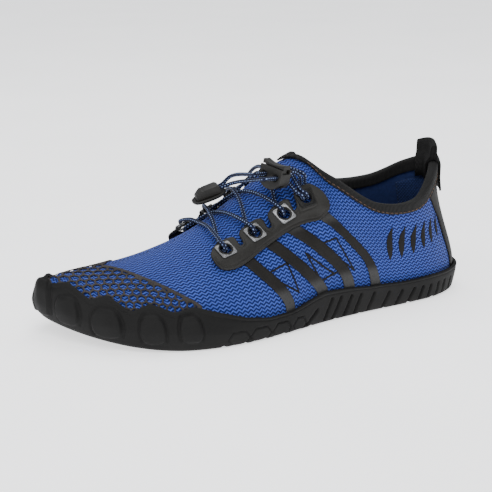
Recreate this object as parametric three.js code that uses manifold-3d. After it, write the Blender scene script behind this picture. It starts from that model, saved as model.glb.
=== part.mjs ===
// Low-cut left water shoe: knit upper on a moulded rubber cup sole with toe bumps, welded
// reinforcement films, lifted lacing tabs, one bungee lace, a spring cord lock and an end clip.
// Millimetres. +X heel, -X toe, +Y medial (big toe) side, +Z up, ground at z = 0.
import * as THREE from 'three';
import { mergeVertices } from 'three/addons/utils/BufferGeometryUtils.js';
import Module from 'manifold-3d';

const wasm = await Module();
wasm.setup();

// ---- driving dimensions ----
const SHOE_LENGTH = 277;      // sole outline, toe tip to heel
const BALL_WIDTH = 103;       // sole outline across the ball
const COLLAR_HEIGHT = 95.5;   // height of the collar's front peak
const KNIT = 1.4;             // upper fabric wall
const LINING = 1.4;           // quarter lining wall
const FIT = 0.3;              // clearance between layers that lie on each other
const CUP_GAP = 1.4;          // cup wall inner face above the knit, room for the films
const FILM = CUP_GAP / 2.8;   // welded film thickness
const FILM_LIFT = CUP_GAP / 2.8; // film underside above the knit
const CUP_WALL = 1.9;         // rubber cup wall
const SOLE_CLEAR = 0.5;       // upper's foot above the cup floor
const BOARD = 1.1;            // lasting board
const INSOLE = 3.2;           // footbed
const PLATE_LIFT = 1.4;       // lacing plate underside above the knit
const PLATE = 1.3;            // lacing plate thickness
const TAB_LIFT = 2.7;         // extra lift of the tabs at the eyelets
const FRAME = 0.7;            // eyelet frame thickness
const FRAME_SIZE = 10;        // eyelet frame side
const LACE = 2.4;             // bungee lace diameter
const EYELET_BORE = 2 * LACE + 1.8; // hole in the tab, for two laces
const BINDING = 1.1;          // collar binding wall
const WEB = 1.4;              // pull tab webbing thickness
const STRIPE_WIDTH = 7.5;     // side stripes
const GROOVE_WIDTH = 3;       // transverse tread groove
const GROOVE_DEPTH = 1.5;     // tread groove depth
const LOCK_WIDTH = 17;        // cord lock body across the two cords
const LOCK_DEPTH = 9;         // cord lock body along the cords
const LOCK_HEIGHT = 11;       // cord lock body, bottom to shoulder
const CORD_PITCH = 9;         // spacing of the two cords in the lock
const PRESS = 2.6;            // button travel
const LOCK_SLIDE = 7.5;       // straight run of the cords ahead of the lock
const CLIP_LENGTH = 22;       // end clip base
const CLIP_WIDTH = 13;        // end clip base
const CLIP_BASE = 2.6;        // end clip base thickness

// ---- the last: twelve sections from toe tip to heel, lateral and medial ----
const SX = SHOE_LENGTH / 277;
const SY = BALL_WIDTH / 103;
const SZ = COLLAR_HEIGHT / 95.5;
const FAN = [0, 35, 62, 80, 90, 90, 90, 90, 92, 100, 135, 180];
const OUTLINE = {
  lat: {
    x: [-139, -128, -106, -76, -46, -14, 18, 50, 82, 110, 131, 138],
    y: [20, -10, -35, -50, -54, -50, -43, -39, -37, -33, -21, 0],
  },
  med: {
    x: [-139, -135, -114, -82, -50, -16, 18, 50, 82, 110, 131, 138],
    y: [20, 40, 49, 49, 45, 38, 33, 32, 33, 31, 20, 0],
  },
};
const FEATHER_Z = [13, 10, 7, 5, 4.5, 5, 7, 8, 7, 6, 6, 6];
const TOP = {
  lat: {
    x: [-126, -112, -94, -71, -44, -16, 17, 34, 62, 94, 116, 127],
    y: [22, 19, 16, 13, 10, 7, 2, -22, -31, -29, -17, 0],
    z: [36, 37.5, 40, 45.5, 56, 74, 95.5, 84.5, 66.5, 64.5, 77.5, 85.5],
  },
  med: {
    x: [-126, -112, -94, -71, -44, -16, 17, 34, 62, 94, 116, 127],
    y: [22, 19, 16, 13, 10, 7, 2, 25, 31, 28, 16, 0],
    z: [36, 37.5, 40, 45.5, 56, 74, 95.5, 88.5, 71.5, 70.5, 80.5, 85.5],
  },
};
const LEAN = [0, 0, 0, 0, 0, 0, 10, 60, 80, 88, 95, 95];
const BULGE = [6, 5, 5, 5, 5, 4, 3, 3, 4, 6, 9, 10];
const RISE = [20, 20, 21, 22, 24, 26, 32, 30, 22, 20, 18, 18];
const REACH = {
  lat: [10, 13, 18, 22, 24, 24, 26, 26, 22, 22, 26, 34],
  med: [10, 11, 11, 12, 14, 17, 24, 26, 22, 22, 26, 34],
};
const FEATHER_INSET = 3;
const LAST_KEY = FAN.length - 1;
const THROAT = 6 / LAST_KEY;
const COLUMNS = 44;

const V = (x, y, z) => new THREE.Vector3(x, y, z);
const UP = V(0, 0, 1);

// Catmull-Rom through a key table; `before` and `after` continue it past its ends.
function spline(keys, t, before, after) {
  const n = keys.length - 1;
  const s = Math.min(Math.max(t, 0), 1) * n;
  const i = Math.min(Math.floor(s), n - 1);
  const f = s - i;
  const a = i > 0 ? keys[i - 1] : before;
  const b = keys[i];
  const c = keys[i + 1];
  const d = i + 2 <= n ? keys[i + 2] : after;
  return 0.5 * (2 * b + (c - a) * f + (2 * a - 5 * b + 4 * c - d) * f * f
    + (3 * b - a - 3 * c + d) * f * f * f);
}
const open = (keys, t) => spline(keys, t, 2 * keys[0] - keys[1],
  2 * keys[LAST_KEY] - keys[LAST_KEY - 1]);
const looped = (keys, other, t) => spline(keys, t, other[1], other[LAST_KEY - 1]);

// u runs round the shoe: 0 toe, up to 1 heel on the lateral side, back to 2 on the medial.
function sideOf(u) {
  const w = ((u % 2) + 2) % 2;
  return w <= 1 ? { own: 'lat', other: 'med', sign: -1, t: w }
    : { own: 'med', other: 'lat', sign: 1, t: 2 - w };
}
function outlineAt(u) {
  const { own, other, sign, t } = sideOf(u);
  const fan = spline(FAN, t, -FAN[1], 360 - FAN[LAST_KEY - 1]) * Math.PI / 180;
  const out = V(-Math.cos(fan), sign * Math.sin(fan), 0);
  const p = V(SX * looped(OUTLINE[own].x, OUTLINE[other].x, t),
    SY * looped(OUTLINE[own].y, OUTLINE[other].y, t), 0);
  return { p, out };
}
function topAt(u) {
  const { own, other, t } = sideOf(u);
  const read = (side, key) => {
    const keys = TOP[side][key];
    const back = TOP[side === 'lat' ? 'med' : 'lat'][key];
    return spline(keys, t, 2 * keys[0] - keys[1], back[LAST_KEY - 1]);
  };
  const both = (key) => (t <= THROAT + 1e-9 ? 0.5 * (read(own, key) + read(other, key))
    : read(own, key));
  return V(SX * both('x'), SY * both('y'), SZ * both('z'));
}
// Point on the outer face of the upper: h = 0 at the sole, 1 at the ridge or the collar.
function skin(u, h) {
  const { own, t } = sideOf(u);
  const { p, out } = outlineAt(u);
  const base = p.clone().addScaledVector(out, -FEATHER_INSET);
  base.z = open(FEATHER_Z, t);
  const top = topAt(u);
  const lean = open(LEAN, t) * Math.PI / 180;
  const reach = open(REACH[own], t);
  const low = base.clone().addScaledVector(out, open(BULGE, t))
    .addScaledVector(UP, SZ * open(RISE, t));
  const high = top.clone().addScaledVector(out, reach * Math.cos(lean))
    .addScaledVector(UP, -reach * Math.sin(lean));
  const g = 1 - h;
  return V(0, 0, 0).addScaledVector(base, g * g * g).addScaledVector(low, 3 * g * g * h)
    .addScaledVector(high, 3 * g * h * h).addScaledVector(top, h * h * h);
}
function tangents(u, h) {
  const e = 0.004;
  const along = skin(u + e, h).sub(skin(u - e, h)).divideScalar(2 * e);
  const up = skin(u, h + e).sub(skin(u, h - e)).divideScalar(2 * e);
  return { along, up };
}
function normal(u, h) {
  const one = (v) => {
    const { along, up } = tangents(v, h);
    const n = along.cross(up);
    return n.length() < 60 ? V(-0.1, 0, 1).normalize() : n.normalize();
  };
  if (h > 1 - 1e-6 && sideOf(u).t <= THROAT + 1e-9) {
    return one(u).add(one(-u)).normalize();
  }
  return one(u);
}
const at = (u, h, n) => skin(u, h).addScaledVector(normal(u, h), n);

// ---- solids ----
const root = new THREE.Group();
function addMesh(name, geometry, color, roughness, metalness = 0) {
  const material = new THREE.MeshStandardMaterial({ color, roughness, metalness });
  const mesh = new THREE.Mesh(geometry, material);
  mesh.name = name;
  root.add(mesh);
  return mesh;
}
function fromLists(points, faces) {
  const g = new THREE.BufferGeometry();
  g.setAttribute('position', new THREE.Float32BufferAttribute(
    points.flatMap((p) => [p.x, p.y, p.z]), 3));
  g.setIndex(faces.flat());
  return g;
}
function toManifold(geometry) {
  const g = geometry.clone();
  g.deleteAttribute('normal');
  g.deleteAttribute('uv');
  const m = mergeVertices(g, 1e-4);
  return new wasm.Manifold(new wasm.Mesh({
    numProp: 3,
    vertProperties: new Float32Array(m.attributes.position.array),
    triVerts: new Uint32Array(m.index.array),
  }));
}
function fromManifold(solid) {
  const out = solid.getMesh();
  const g = new THREE.BufferGeometry();
  const pos = new Float32Array(out.numVert * 3);
  for (let i = 0; i < out.numVert; i += 1) {
    for (let k = 0; k < 3; k += 1) {
      pos[3 * i + k] = out.vertProperties[i * out.numProp + k];
    }
  }
  g.setAttribute('position', new THREE.BufferAttribute(pos, 3));
  g.setIndex(Array.from(out.triVerts));
  return g;
}
function placed(geometry, frame) {
  return geometry.clone().applyMatrix4(frame);
}

// A sheet given by (u, h) points and triangles becomes a wall between two heights above the skin.
function wall(params, faces, low, high) {
  const key = new Map();
  const index = params.map(([v, h]) => {
    const { t, own } = sideOf(v);
    const ridge = h > 1 - 1e-6 && t <= THROAT + 1e-9;
    const u = ridge || own === 'lat' ? t : 2 - t;
    const k = `${u.toFixed(5)},${h.toFixed(5)}`;
    if (!key.has(k)) key.set(k, { id: key.size, u, h });
    return key.get(k).id;
  });
  const unique = [...key.values()];
  const n = unique.length;
  const height = (f, q) => (typeof f === 'function' ? f(q.u, q.h) : f);
  const outer = unique.map((q) => at(q.u, q.h, height(high, q)));
  const inner = unique.map((q) => at(q.u, q.h, height(low, q)));
  const tri = faces.map((f) => f.map((i) => index[i]))
    .filter(([a, b, c]) => a !== b && b !== c && c !== a);
  const out = [];
  const edges = new Map();
  for (const [a, b, c] of tri) {
    out.push([a, b, c], [n + a, n + c, n + b]);
    for (const [p, q] of [[a, b], [b, c], [c, a]]) {
      if (edges.has(`${q},${p}`)) edges.delete(`${q},${p}`);
      else edges.set(`${p},${q}`, [p, q]);
    }
  }
  for (const [p, q] of edges.values()) out.push([q, p, n + p], [q, n + p, n + q]);
  return fromLists([...outer, ...inner], out);
}
// Sheet of columns, each from lo(u) to hi(u).
function bandSheet(us, lo, hi, rows, closed = false) {
  const params = [];
  const faces = [];
  for (const u of us) {
    for (let j = 0; j <= rows; j += 1) {
      const a = lo(u);
      params.push([u, a + (hi(u) - a) * j / rows]);
    }
  }
  const last = closed ? us.length : us.length - 1;
  for (let i = 0; i < last; i += 1) {
    const k = (i + 1) % us.length;
    for (let j = 0; j < rows; j += 1) {
      const a = i * (rows + 1) + j;
      const b = k * (rows + 1) + j;
      faces.push([a, b, b + 1], [a, b + 1, a + 1]);
    }
  }
  return { params, faces };
}
const columns = (from, to, step = 1) => {
  const list = [];
  for (let k = from; k <= to + 1e-9; k += step) list.push(k / COLUMNS);
  return list;
};
// Rings of points round the shoe joined into one closed body; the first and last are capped.
function ringBody(rings) {
  const n = rings[0].length;
  const faces = [];
  for (let r = 0; r + 1 < rings.length; r += 1) {
    for (let i = 0; i < n; i += 1) {
      const a = r * n + i;
      const b = r * n + (i + 1) % n;
      faces.push([a, b, b + n], [a, b + n, a + n]);
    }
  }
  const cap = (start, flip) => {
    for (let i = 0; i < n / 2; i += 1) {
      const a = start + i;
      const b = start + i + 1;
      const c = start + (n - i - 1) % n;
      const d = start + (n - i) % n;
      const quad = [];
      if (b !== c) quad.push([a, b, c]);
      if (a !== d) quad.push([a, c, d]);
      for (const [p, q, s] of quad) faces.push(flip ? [p, s, q] : [p, q, s]);
    }
  };
  cap(0, true);
  cap((rings.length - 1) * n, false);
  return fromLists(rings.flat(), faces);
}
// Sections of equal point count joined in order; a closed loft ends on its first section.
function loft(sections, closed, capShape) {
  const n = sections[0].length;
  const faces = [];
  const last = closed ? sections.length : sections.length - 1;
  for (let s = 0; s < last; s += 1) {
    const t = ((s + 1) % sections.length) * n;
    for (let i = 0; i < n; i += 1) {
      const j = (i + 1) % n;
      faces.push([s * n + i, s * n + j, t + j], [s * n + i, t + j, t + i]);
    }
  }
  if (!closed) {
    const caps = THREE.ShapeUtils.triangulateShape(capShape, []);
    const off = (sections.length - 1) * n;
    for (const [a, b, c] of caps) faces.push([a, c, b], [off + a, off + b, off + c]);
  }
  return fromLists(sections.flat(), faces);
}
// Turns a body's faces outward when its winding came out inward.
function faceOut(geometry) {
  const p = geometry.attributes.position;
  const ix = geometry.index.array;
  const a = new THREE.Vector3();
  const b = new THREE.Vector3();
  const c = new THREE.Vector3();
  let volume = 0;
  for (let i = 0; i < ix.length; i += 3) {
    a.fromBufferAttribute(p, ix[i]);
    b.fromBufferAttribute(p, ix[i + 1]);
    c.fromBufferAttribute(p, ix[i + 2]);
    volume += a.dot(b.cross(c));
  }
  if (volume > 0) return geometry;
  const turned = [];
  for (let i = 0; i < ix.length; i += 3) turned.push(ix[i], ix[i + 2], ix[i + 1]);
  geometry.setIndex(turned);
  return geometry;
}

// ---- cup sole ----
// Top edge of the cup in the section parameter h; the front follows five toe bumps.
const EDGE = {
  lat: [[0, 0.62], [0.0227, 0.49], [0.0682, 0.55], [0.1136, 0.36], [0.148, 0.42],
    [0.182, 0.27], [0.216, 0.34], [0.25, 0.26], [0.282, 0.29], [0.32, 0.227], [0.37, 0.151],
    [0.416, 0.109], [0.466, 0.101], [0.511, 0.118], [0.539, 0.126], [0.594, 0.118],
    [0.648, 0.109], [0.717, 0.143], [0.799, 0.185], [0.877, 0.193], [1, 0.2]],
  med: [[0, 0.62], [0.06, 0.55], [0.12, 0.4], [0.2, 0.29], [0.3, 0.2], [0.37, 0.15],
    [0.45, 0.12], [0.54, 0.126], [0.648, 0.12], [0.75, 0.15], [0.877, 0.193], [1, 0.2]],
};
const TOE_BUMPS = [[0, 1.4], [0.0227, -0.8], [0.0682, 1.6], [0.1136, -1], [0.148, 1.6],
  [0.182, -1], [0.216, 1.5], [0.25, -1], [0.282, 1.2], [0.32, 0], [1, 0]];
function follow(table, t) {
  let i = 0;
  while (i + 2 < table.length && table[i + 1][0] < t) i += 1;
  const [t0, v0] = table[i];
  const [t1, v1] = table[i + 1];
  return v0 + (v1 - v0) * Math.min(Math.max((t - t0) / (t1 - t0), 0), 1);
}
const cupEdge = (u) => follow(EDGE[sideOf(u).own], sideOf(u).t);
const cupBump = (u) => (sideOf(u).own === 'lat' ? follow(TOE_BUMPS, sideOf(u).t)
  : Math.max(0, 1.4 - 14 * sideOf(u).t));
function groundZ(x) {
  const toe = -76 * SX;
  const s = Math.max(0, (toe - x) / (63 * SX));
  return 10 * s ** 1.8;
}
const around = columns(0, 2 * COLUMNS - 1);
const CUP_OUT = CUP_GAP + CUP_WALL;
function cupRing(f) {
  return around.map(f);
}
function groundRing(inset, lift) {
  return cupRing((u) => {
    const { p, out } = outlineAt(u);
    const q = p.clone().addScaledVector(out, -inset);
    q.z = groundZ(q.x) + lift;
    return q;
  });
}
const skinRing = (share, n) => cupRing((u) => at(u, share * cupEdge(u),
  typeof n === 'function' ? n(u) : n));
const floorRing = cupRing((u) => {
  const q = at(u, 0, CUP_GAP);
  q.z = open(FEATHER_Z, sideOf(u).t) - SOLE_CLEAR;
  return q;
});
let outsole = toManifold(faceOut(ringBody([
  groundRing(5, 0),
  groundRing(1.6, 0.5),
  groundRing(0, 2.2),
  skinRing(0.3, (u) => CUP_OUT + cupBump(u)),
  skinRing(0.7, (u) => CUP_OUT + cupBump(u)),
  skinRing(0.96, (u) => CUP_OUT + 0.4 * cupBump(u)),
  skinRing(1, CUP_OUT - 0.8),
  ...[0.99, 0.88, 0.76, 0.62, 0.4].map((share) => skinRing(share, CUP_GAP)),
  floorRing,
])));
for (const x of [-58, -44, -30, -16, 6, 26, 46, 66, 86, 106]) {
  const g = new THREE.BoxGeometry(GROOVE_WIDTH, 140 * SY, 2 * GROOVE_DEPTH);
  g.translate(x * SX, 0, 0);
  outsole = outsole.subtract(toManifold(g));
}
addMesh('outsole', fromManifold(outsole), 0x2c2c2a, 0.75);

// ---- upper, lasting board, insole, lining ----
const upperSheet = bandSheet(around, () => 0, () => 1, 8, true);
addMesh('upper_knit', wall(upperSheet.params, upperSheet.faces, -KNIT, 0), 0x3f62c4, 0.85);

const INNER = -(KNIT + FIT + 0.2);
function plateRing(n, lift, inset) {
  return around.map((u) => {
    const z = open(FEATHER_Z, sideOf(u).t) + lift;
    let h = 0;
    while (skin(u, h).z < z && h < 0.5) h += 0.004;
    const q = at(u, h, n);
    q.addScaledVector(outlineAt(u).out, -inset);
    q.z = z;
    return q;
  });
}
const boardLow = 0.4;
const boardTop = boardLow + BOARD;
const insoleLow = boardTop + FIT;
const insoleTop = insoleLow + INSOLE;
addMesh('lasting_board', faceOut(ringBody([
  plateRing(INNER, boardLow, 0.6),
  plateRing(INNER, boardTop, 0.4),
])), 0x20242c, 0.9);
addMesh('insole', faceOut(ringBody([
  plateRing(INNER, insoleLow, 0.5),
  plateRing(INNER, insoleTop, 0.3),
])), 0x1f3f8f, 0.8);

const SAG = 0.25 * Math.max(SX, SY, SZ);
const LINING_OUT = -(KNIT + FIT + SAG);
const LINING_IN = LINING_OUT - LINING;
const throatColumn = Math.round(THROAT * COLUMNS);
const quarter = columns(throatColumn, 2 * COLUMNS - throatColumn);
const liningLow = (u) => {
  let h = 0;
  while (at(u, h, LINING_IN).z < open(FEATHER_Z, sideOf(u).t) + insoleTop + 0.6) h += 0.01;
  return h;
};
const liningSheet = bandSheet(quarter, liningLow, () => 0.985, 5);
addMesh('quarter_lining', wall(liningSheet.params, liningSheet.faces, LINING_IN, LINING_OUT),
  0x2a50b4, 0.6);
const PAD_OUT = LINING_IN - FIT;
const padSheet = bandSheet(columns(39, 49), () => 0.42, () => 0.86, 5);
addMesh('heel_lining_pad', wall(padSheet.params, padSheet.faces, PAD_OUT - 1.2, PAD_OUT),
  0x16244f, 0.7);

// ---- collar binding ----
const rimColumns = [];
for (let k = throatColumn; k < 2 * COLUMNS - throatColumn; k += 1) rimColumns.push(k);
const LINING_SEAT = LINING_IN - FIT - 0.1;
function bindingLow(k) {
  const c = Math.min(k, 2 * COLUMNS - k) - throatColumn;
  const shift = [-0.9, -0.35, -0.1][c] || 0;
  const h = [1, 0.93, 0.92, 0.92][c] || 0.925;
  return [k <= COLUMNS ? k + shift : k - shift, h];
}
const bindingSections = rimColumns.map((k) => {
  const turn = Math.min(k, 2 * COLUMNS - k) - throatColumn;
  const slack = 0.2 * Math.max(0, 6 - turn);
  const bindIn = LINING_SEAT - slack;
  const bindOut = FILM_LIFT + 0.8 * slack;
  const rim = k / COLUMNS;
  const [lowK, lowH] = bindingLow(k);
  const mid = [(rim + lowK / COLUMNS) / 2, (1 + lowH) / 2];
  const low = [lowK / COLUMNS, lowH];
  const top = skin(rim, 1);
  const away = top.clone().sub(skin(...low)).normalize();
  const over = (n, d) => at(rim, 1, n).addScaledVector(away, d);
  return [
    at(...low, bindOut),
    at(...low, bindOut + BINDING),
    at(...mid, bindOut + BINDING + 0.1),
    at(rim, 1, bindOut + BINDING),
    over(0.9, BINDING + 0.5 + slack),
    over(-1.5, BINDING + 0.9 + slack),
    over(-3.4, BINDING + 0.5 + slack),
    at(rim, 1, bindIn - BINDING),
    at(...low, bindIn - BINDING),
    at(...low, bindIn),
    over(bindIn, 0.1),
    over(bindIn, 0.45 + slack),
    over(bindOut, 0.45 + slack),
  ];
});
addMesh('collar_binding', faceOut(loft(bindingSections, true)), 0x1b1b1b, 0.9);

// ---- heel patch and pull tab ----
const heelEdge = [[0.205, 0.885], [0.5, 0.886], [0.67, 0.89], [0.84, 0.878], [0.9, 0.87]];
const heelRows = 7;
const heelParams = [];
const heelFaces = [];
const HEEL_COLUMNS = 16;
for (let j = 0; j <= heelRows; j += 1) {
  const h = 0.15 + (0.905 - 0.15) * j / heelRows;
  const half = 1 - follow(heelEdge, h);
  for (let i = 0; i <= HEEL_COLUMNS; i += 1) {
    heelParams.push([1 + half * (2 * i / HEEL_COLUMNS - 1), h]);
  }
}
for (let j = 0; j < heelRows; j += 1) {
  for (let i = 0; i < HEEL_COLUMNS; i += 1) {
    const a = j * (HEEL_COLUMNS + 1) + i;
    const b = a + HEEL_COLUMNS + 1;
    heelFaces.push([a, a + 1, b + 1], [a, b + 1, b]);
  }
}
addMesh('heel_patch', faceOut(wall(heelParams, heelFaces, FILM_LIFT, FILM_LIFT + FILM)),
  0x1d1d1c, 0.8);

const tabOut = FILM_LIFT + BINDING + 0.6;
const tabIn = LINING_SEAT - BINDING - 0.7;
const crown = BINDING + 0.9;
const tabProfile = [
  [tabOut + WEB, 0.8, 0], [tabOut + WEB, 1, 0], [tabOut + 0.4, 1, 2.5],
  [0.9, 1, 5], [0.4, 1, 11], [-1.7, 1, 13], [-3.8, 1, 11], [-4.3, 1, 5],
  [tabIn - 0.5, 1, 2.5], [tabIn - WEB, 1, 0], [tabIn - WEB, 0.88, 0], [tabIn, 0.88, 0],
  [tabIn, 1, 0.5], [-3.2, 1, crown + 1.2], [-1.7, 1, crown + 1.6], [0, 1, crown + 1.2],
  [tabOut, 1, 0.8], [tabOut, 0.8, 0],
];
const tabSections = [];
for (const u of [0.947, 0.965, 0.983, 1, 1.017, 1.035, 1.053]) {
  const away = skin(u, 1).sub(skin(u, 0.93)).normalize();
  tabSections.push(tabProfile.map(([n, h, d]) => at(u, h, n).addScaledVector(away, d)));
}
const tabShape = tabProfile.map(([n, h, d]) => new THREE.Vector2(n, 34 * (h - 1) + d));
addMesh('pull_tab', faceOut(loft(tabSections, false, tabShape)), 0x161616, 0.9);

// ---- toe film ----
const TOE_FILM = {
  lat: [[0, 1], [0.14, 1], [0.151, 0.958], [0.192, 0.79], [0.219, 0.664], [0.247, 0.538],
    [0.269, 0.437], [0.292, 0.336], [0.306, 0.27]],
  med: [[0, 1], [0.14, 1], [0.16, 0.93], [0.2, 0.76], [0.23, 0.6], [0.26, 0.46],
    [0.306, 0.26]],
};
const toeColumns = columns(-13, 13);
const toeSheet = bandSheet(toeColumns, (u) => cupEdge(u) - 0.07,
  (u) => follow(TOE_FILM[sideOf(u).own], sideOf(u).t), 6);
addMesh('toe_film', faceOut(wall(toeSheet.params, toeSheet.faces, FILM_LIFT,
  FILM_LIFT + FILM)), 0x3a3835, 0.7);

// ---- side stripes ----
const STRIPES = [
  [[0.402, 0.53], [0.425, 0.387], [0.443, 0.3], [0.466, 0.16], [0.466, 0.07]],
  [[0.452, 0.55], [0.484, 0.378], [0.507, 0.277], [0.539, 0.151], [0.541, 0.09]],
  [[0.492, 0.55], [0.53, 0.403], [0.566, 0.311], [0.598, 0.21], [0.603, 0.08]],
  [[0.562, 0.545], [0.603, 0.521], [0.635, 0.445], [0.658, 0.319], [0.662, 0.08]],
];
// Moves a (u, h) point by a distance in the skin along a given direction.
function moved(u, h, direction, distance) {
  const { along, up } = tangents(u, h);
  const aa = along.dot(along);
  const bb = up.dot(up);
  const ab = along.dot(up);
  const pa = direction.dot(along) * distance;
  const pb = direction.dot(up) * distance;
  const det = aa * bb - ab * ab;
  return [u + (pa * bb - pb * ab) / det, h + (pb * aa - pa * ab) / det];
}
function stripSheet(path, width, spans) {
  const params = [];
  const faces = [];
  const count = (path.length - 1) * spans;
  const point = (s) => {
    const i = Math.min(Math.floor(s), path.length - 2);
    const f = s - i;
    return [path[i][0] + (path[i + 1][0] - path[i][0]) * f,
      path[i][1] + (path[i + 1][1] - path[i][1]) * f];
  };
  for (let j = 0; j <= count; j += 1) {
    const s = j / spans;
    const [u, h] = point(s);
    const a = skin(...point(Math.max(0, s - 0.4)));
    const b = skin(...point(Math.min(path.length - 1, s + 0.4)));
    const across = normal(u, h).cross(b.sub(a)).normalize();
    for (const w of [-0.5, 0, 0.5]) params.push(moved(u, h, across, w * width));
  }
  for (let j = 0; j < count; j += 1) {
    for (let i = 0; i < 2; i += 1) {
      const a = 3 * j + i;
      faces.push([a, a + 1, a + 4], [a, a + 4, a + 3]);
    }
  }
  return { params, faces };
}
for (const side of ['lat', 'med']) {
  STRIPES.forEach((path, i) => {
    const run = path.map(([t, h]) => [side === 'lat' ? t : 2 - t, h]);
    const sheet = stripSheet(run, STRIPE_WIDTH, 2);
    addMesh(`stripe_${side}_${i + 1}`, faceOut(wall(sheet.params, sheet.faces, FILM_LIFT,
      FILM_LIFT + FILM)), 0x2a2824, 0.75);
  });
}

// ---- lacing plates with lifted tabs, eyelet frames ----
const EYELETS = {
  lat: [[0.376, 0.602], [0.437, 0.605], [0.492, 0.606], [0.53, 0.625]],
  med: [[0.374, 0.655], [0.424, 0.68], [0.471, 0.7], [0.512, 0.685]],
};
const PLATE_EDGE = {
  lat: [[0.347, 0.62], [0.347, 0.55], [0.358, 0.5], [0.379, 0.476], [0.406, 0.484],
    [0.443, 0.509], [0.498, 0.518], [0.525, 0.505], [0.553, 0.5], [0.578, 0.58],
    [0.588, 0.66], [0.578, 0.7], [0.55, 0.71]],
  med: [[0.347, 0.66], [0.347, 0.59], [0.358, 0.54], [0.379, 0.516], [0.406, 0.52],
    [0.443, 0.53], [0.498, 0.538], [0.525, 0.525], [0.548, 0.53], [0.566, 0.6],
    [0.572, 0.69], [0.562, 0.75], [0.54, 0.775]],
};
const TAB_HALF = 0.0262;
const TAB_TOP = 0.075;
const NOTCH_FLOOR = 0.02;
function plateOutline(side) {
  const lower = PLATE_EDGE[side];
  const pts = [...lower];
  const eyes = EYELETS[side];
  for (let i = eyes.length - 1; i >= 0; i -= 1) {
    const [t, h] = eyes[i];
    const right = i === eyes.length - 1 ? t : Math.min(t + TAB_HALF,
      (t + eyes[i + 1][0]) / 2 - 0.004);
    const left = i === 0 ? t - 0.018 : Math.max(t - TAB_HALF, (t + eyes[i - 1][0]) / 2 + 0.004);
    if (i < eyes.length - 1) pts.push([right, h - NOTCH_FLOOR], [right, h + TAB_TOP * 0.75]);
    pts.push([(t + right) / 2, h + TAB_TOP], [(t + left) / 2, h + TAB_TOP]);
    pts.push([left, h + TAB_TOP * 0.75]);
    if (i > 0) pts.push([left, h - NOTCH_FLOOR]);
  }
  return pts;
}
// Splits long edges until a flat (u, h) triangulation follows the curved skin.
function refine(params, faces, limit) {
  let pts = params.slice();
  let tris = faces.slice();
  const size = (a, b) => skin(...pts[a]).distanceTo(skin(...pts[b]));
  for (let pass = 0; pass < 7; pass += 1) {
    const mids = new Map();
    const mid = (a, b) => {
      const k = a < b ? `${a},${b}` : `${b},${a}`;
      if (!mids.has(k)) {
        if (size(a, b) > limit) {
          pts.push([(pts[a][0] + pts[b][0]) / 2, (pts[a][1] + pts[b][1]) / 2]);
          mids.set(k, pts.length - 1);
        } else mids.set(k, -1);
      }
      return mids.get(k);
    };
    const next = [];
    for (const [a, b, c] of tris) {
      const lengths = [size(a, b), size(b, c), size(c, a)];
      const longest = lengths.indexOf(Math.max(...lengths));
      const [p, q, r] = [[a, b, c], [b, c, a], [c, a, b]][longest];
      const m = mid(p, q);
      const m2 = mid(q, r);
      const m3 = mid(r, p);
      if (m < 0) next.push([p, q, r]);
      else if (m2 < 0 && m3 < 0) next.push([p, m, r], [m, q, r]);
      else if (m2 >= 0 && m3 < 0) next.push([p, m, r], [m, q, m2], [m, m2, r]);
      else if (m2 < 0 && m3 >= 0) next.push([m, q, r], [p, m, m3], [m, r, m3]);
      else next.push([p, m, m3], [m, q, m2], [m3, m2, r], [m, m2, m3]);
    }
    if (next.length === tris.length) break;
    tris = next;
  }
  return { params: pts, faces: tris };
}
function circleAround(u, h, radius, count) {
  const { along, up } = tangents(u, h);
  const e1 = along.clone().normalize();
  const e2 = up.clone().addScaledVector(e1, -up.dot(e1)).normalize();
  const list = [];
  for (let i = 0; i < count; i += 1) {
    const a = 2 * Math.PI * (i + 0.5) / count;
    const d = e1.clone().multiplyScalar(Math.cos(a)).addScaledVector(e2, Math.sin(a));
    list.push(moved(u, h, d, radius));
  }
  return list;
}
function squareAround(u, h, half, corner) {
  const { along, up } = tangents(u, h);
  const e1 = along.clone().normalize();
  const e2 = up.clone().addScaledVector(e1, -up.dot(e1)).normalize();
  const list = [];
  const c = half - corner;
  for (const [x, y] of [[half, -c], [half, c], [c, half], [-c, half], [-half, c],
    [-half, -c], [-c, -half], [c, -half]]) {
    const d = e1.clone().multiplyScalar(x).addScaledVector(e2, y);
    const r = d.length();
    list.push(moved(u, h, d.normalize(), r));
  }
  return list;
}
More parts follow.
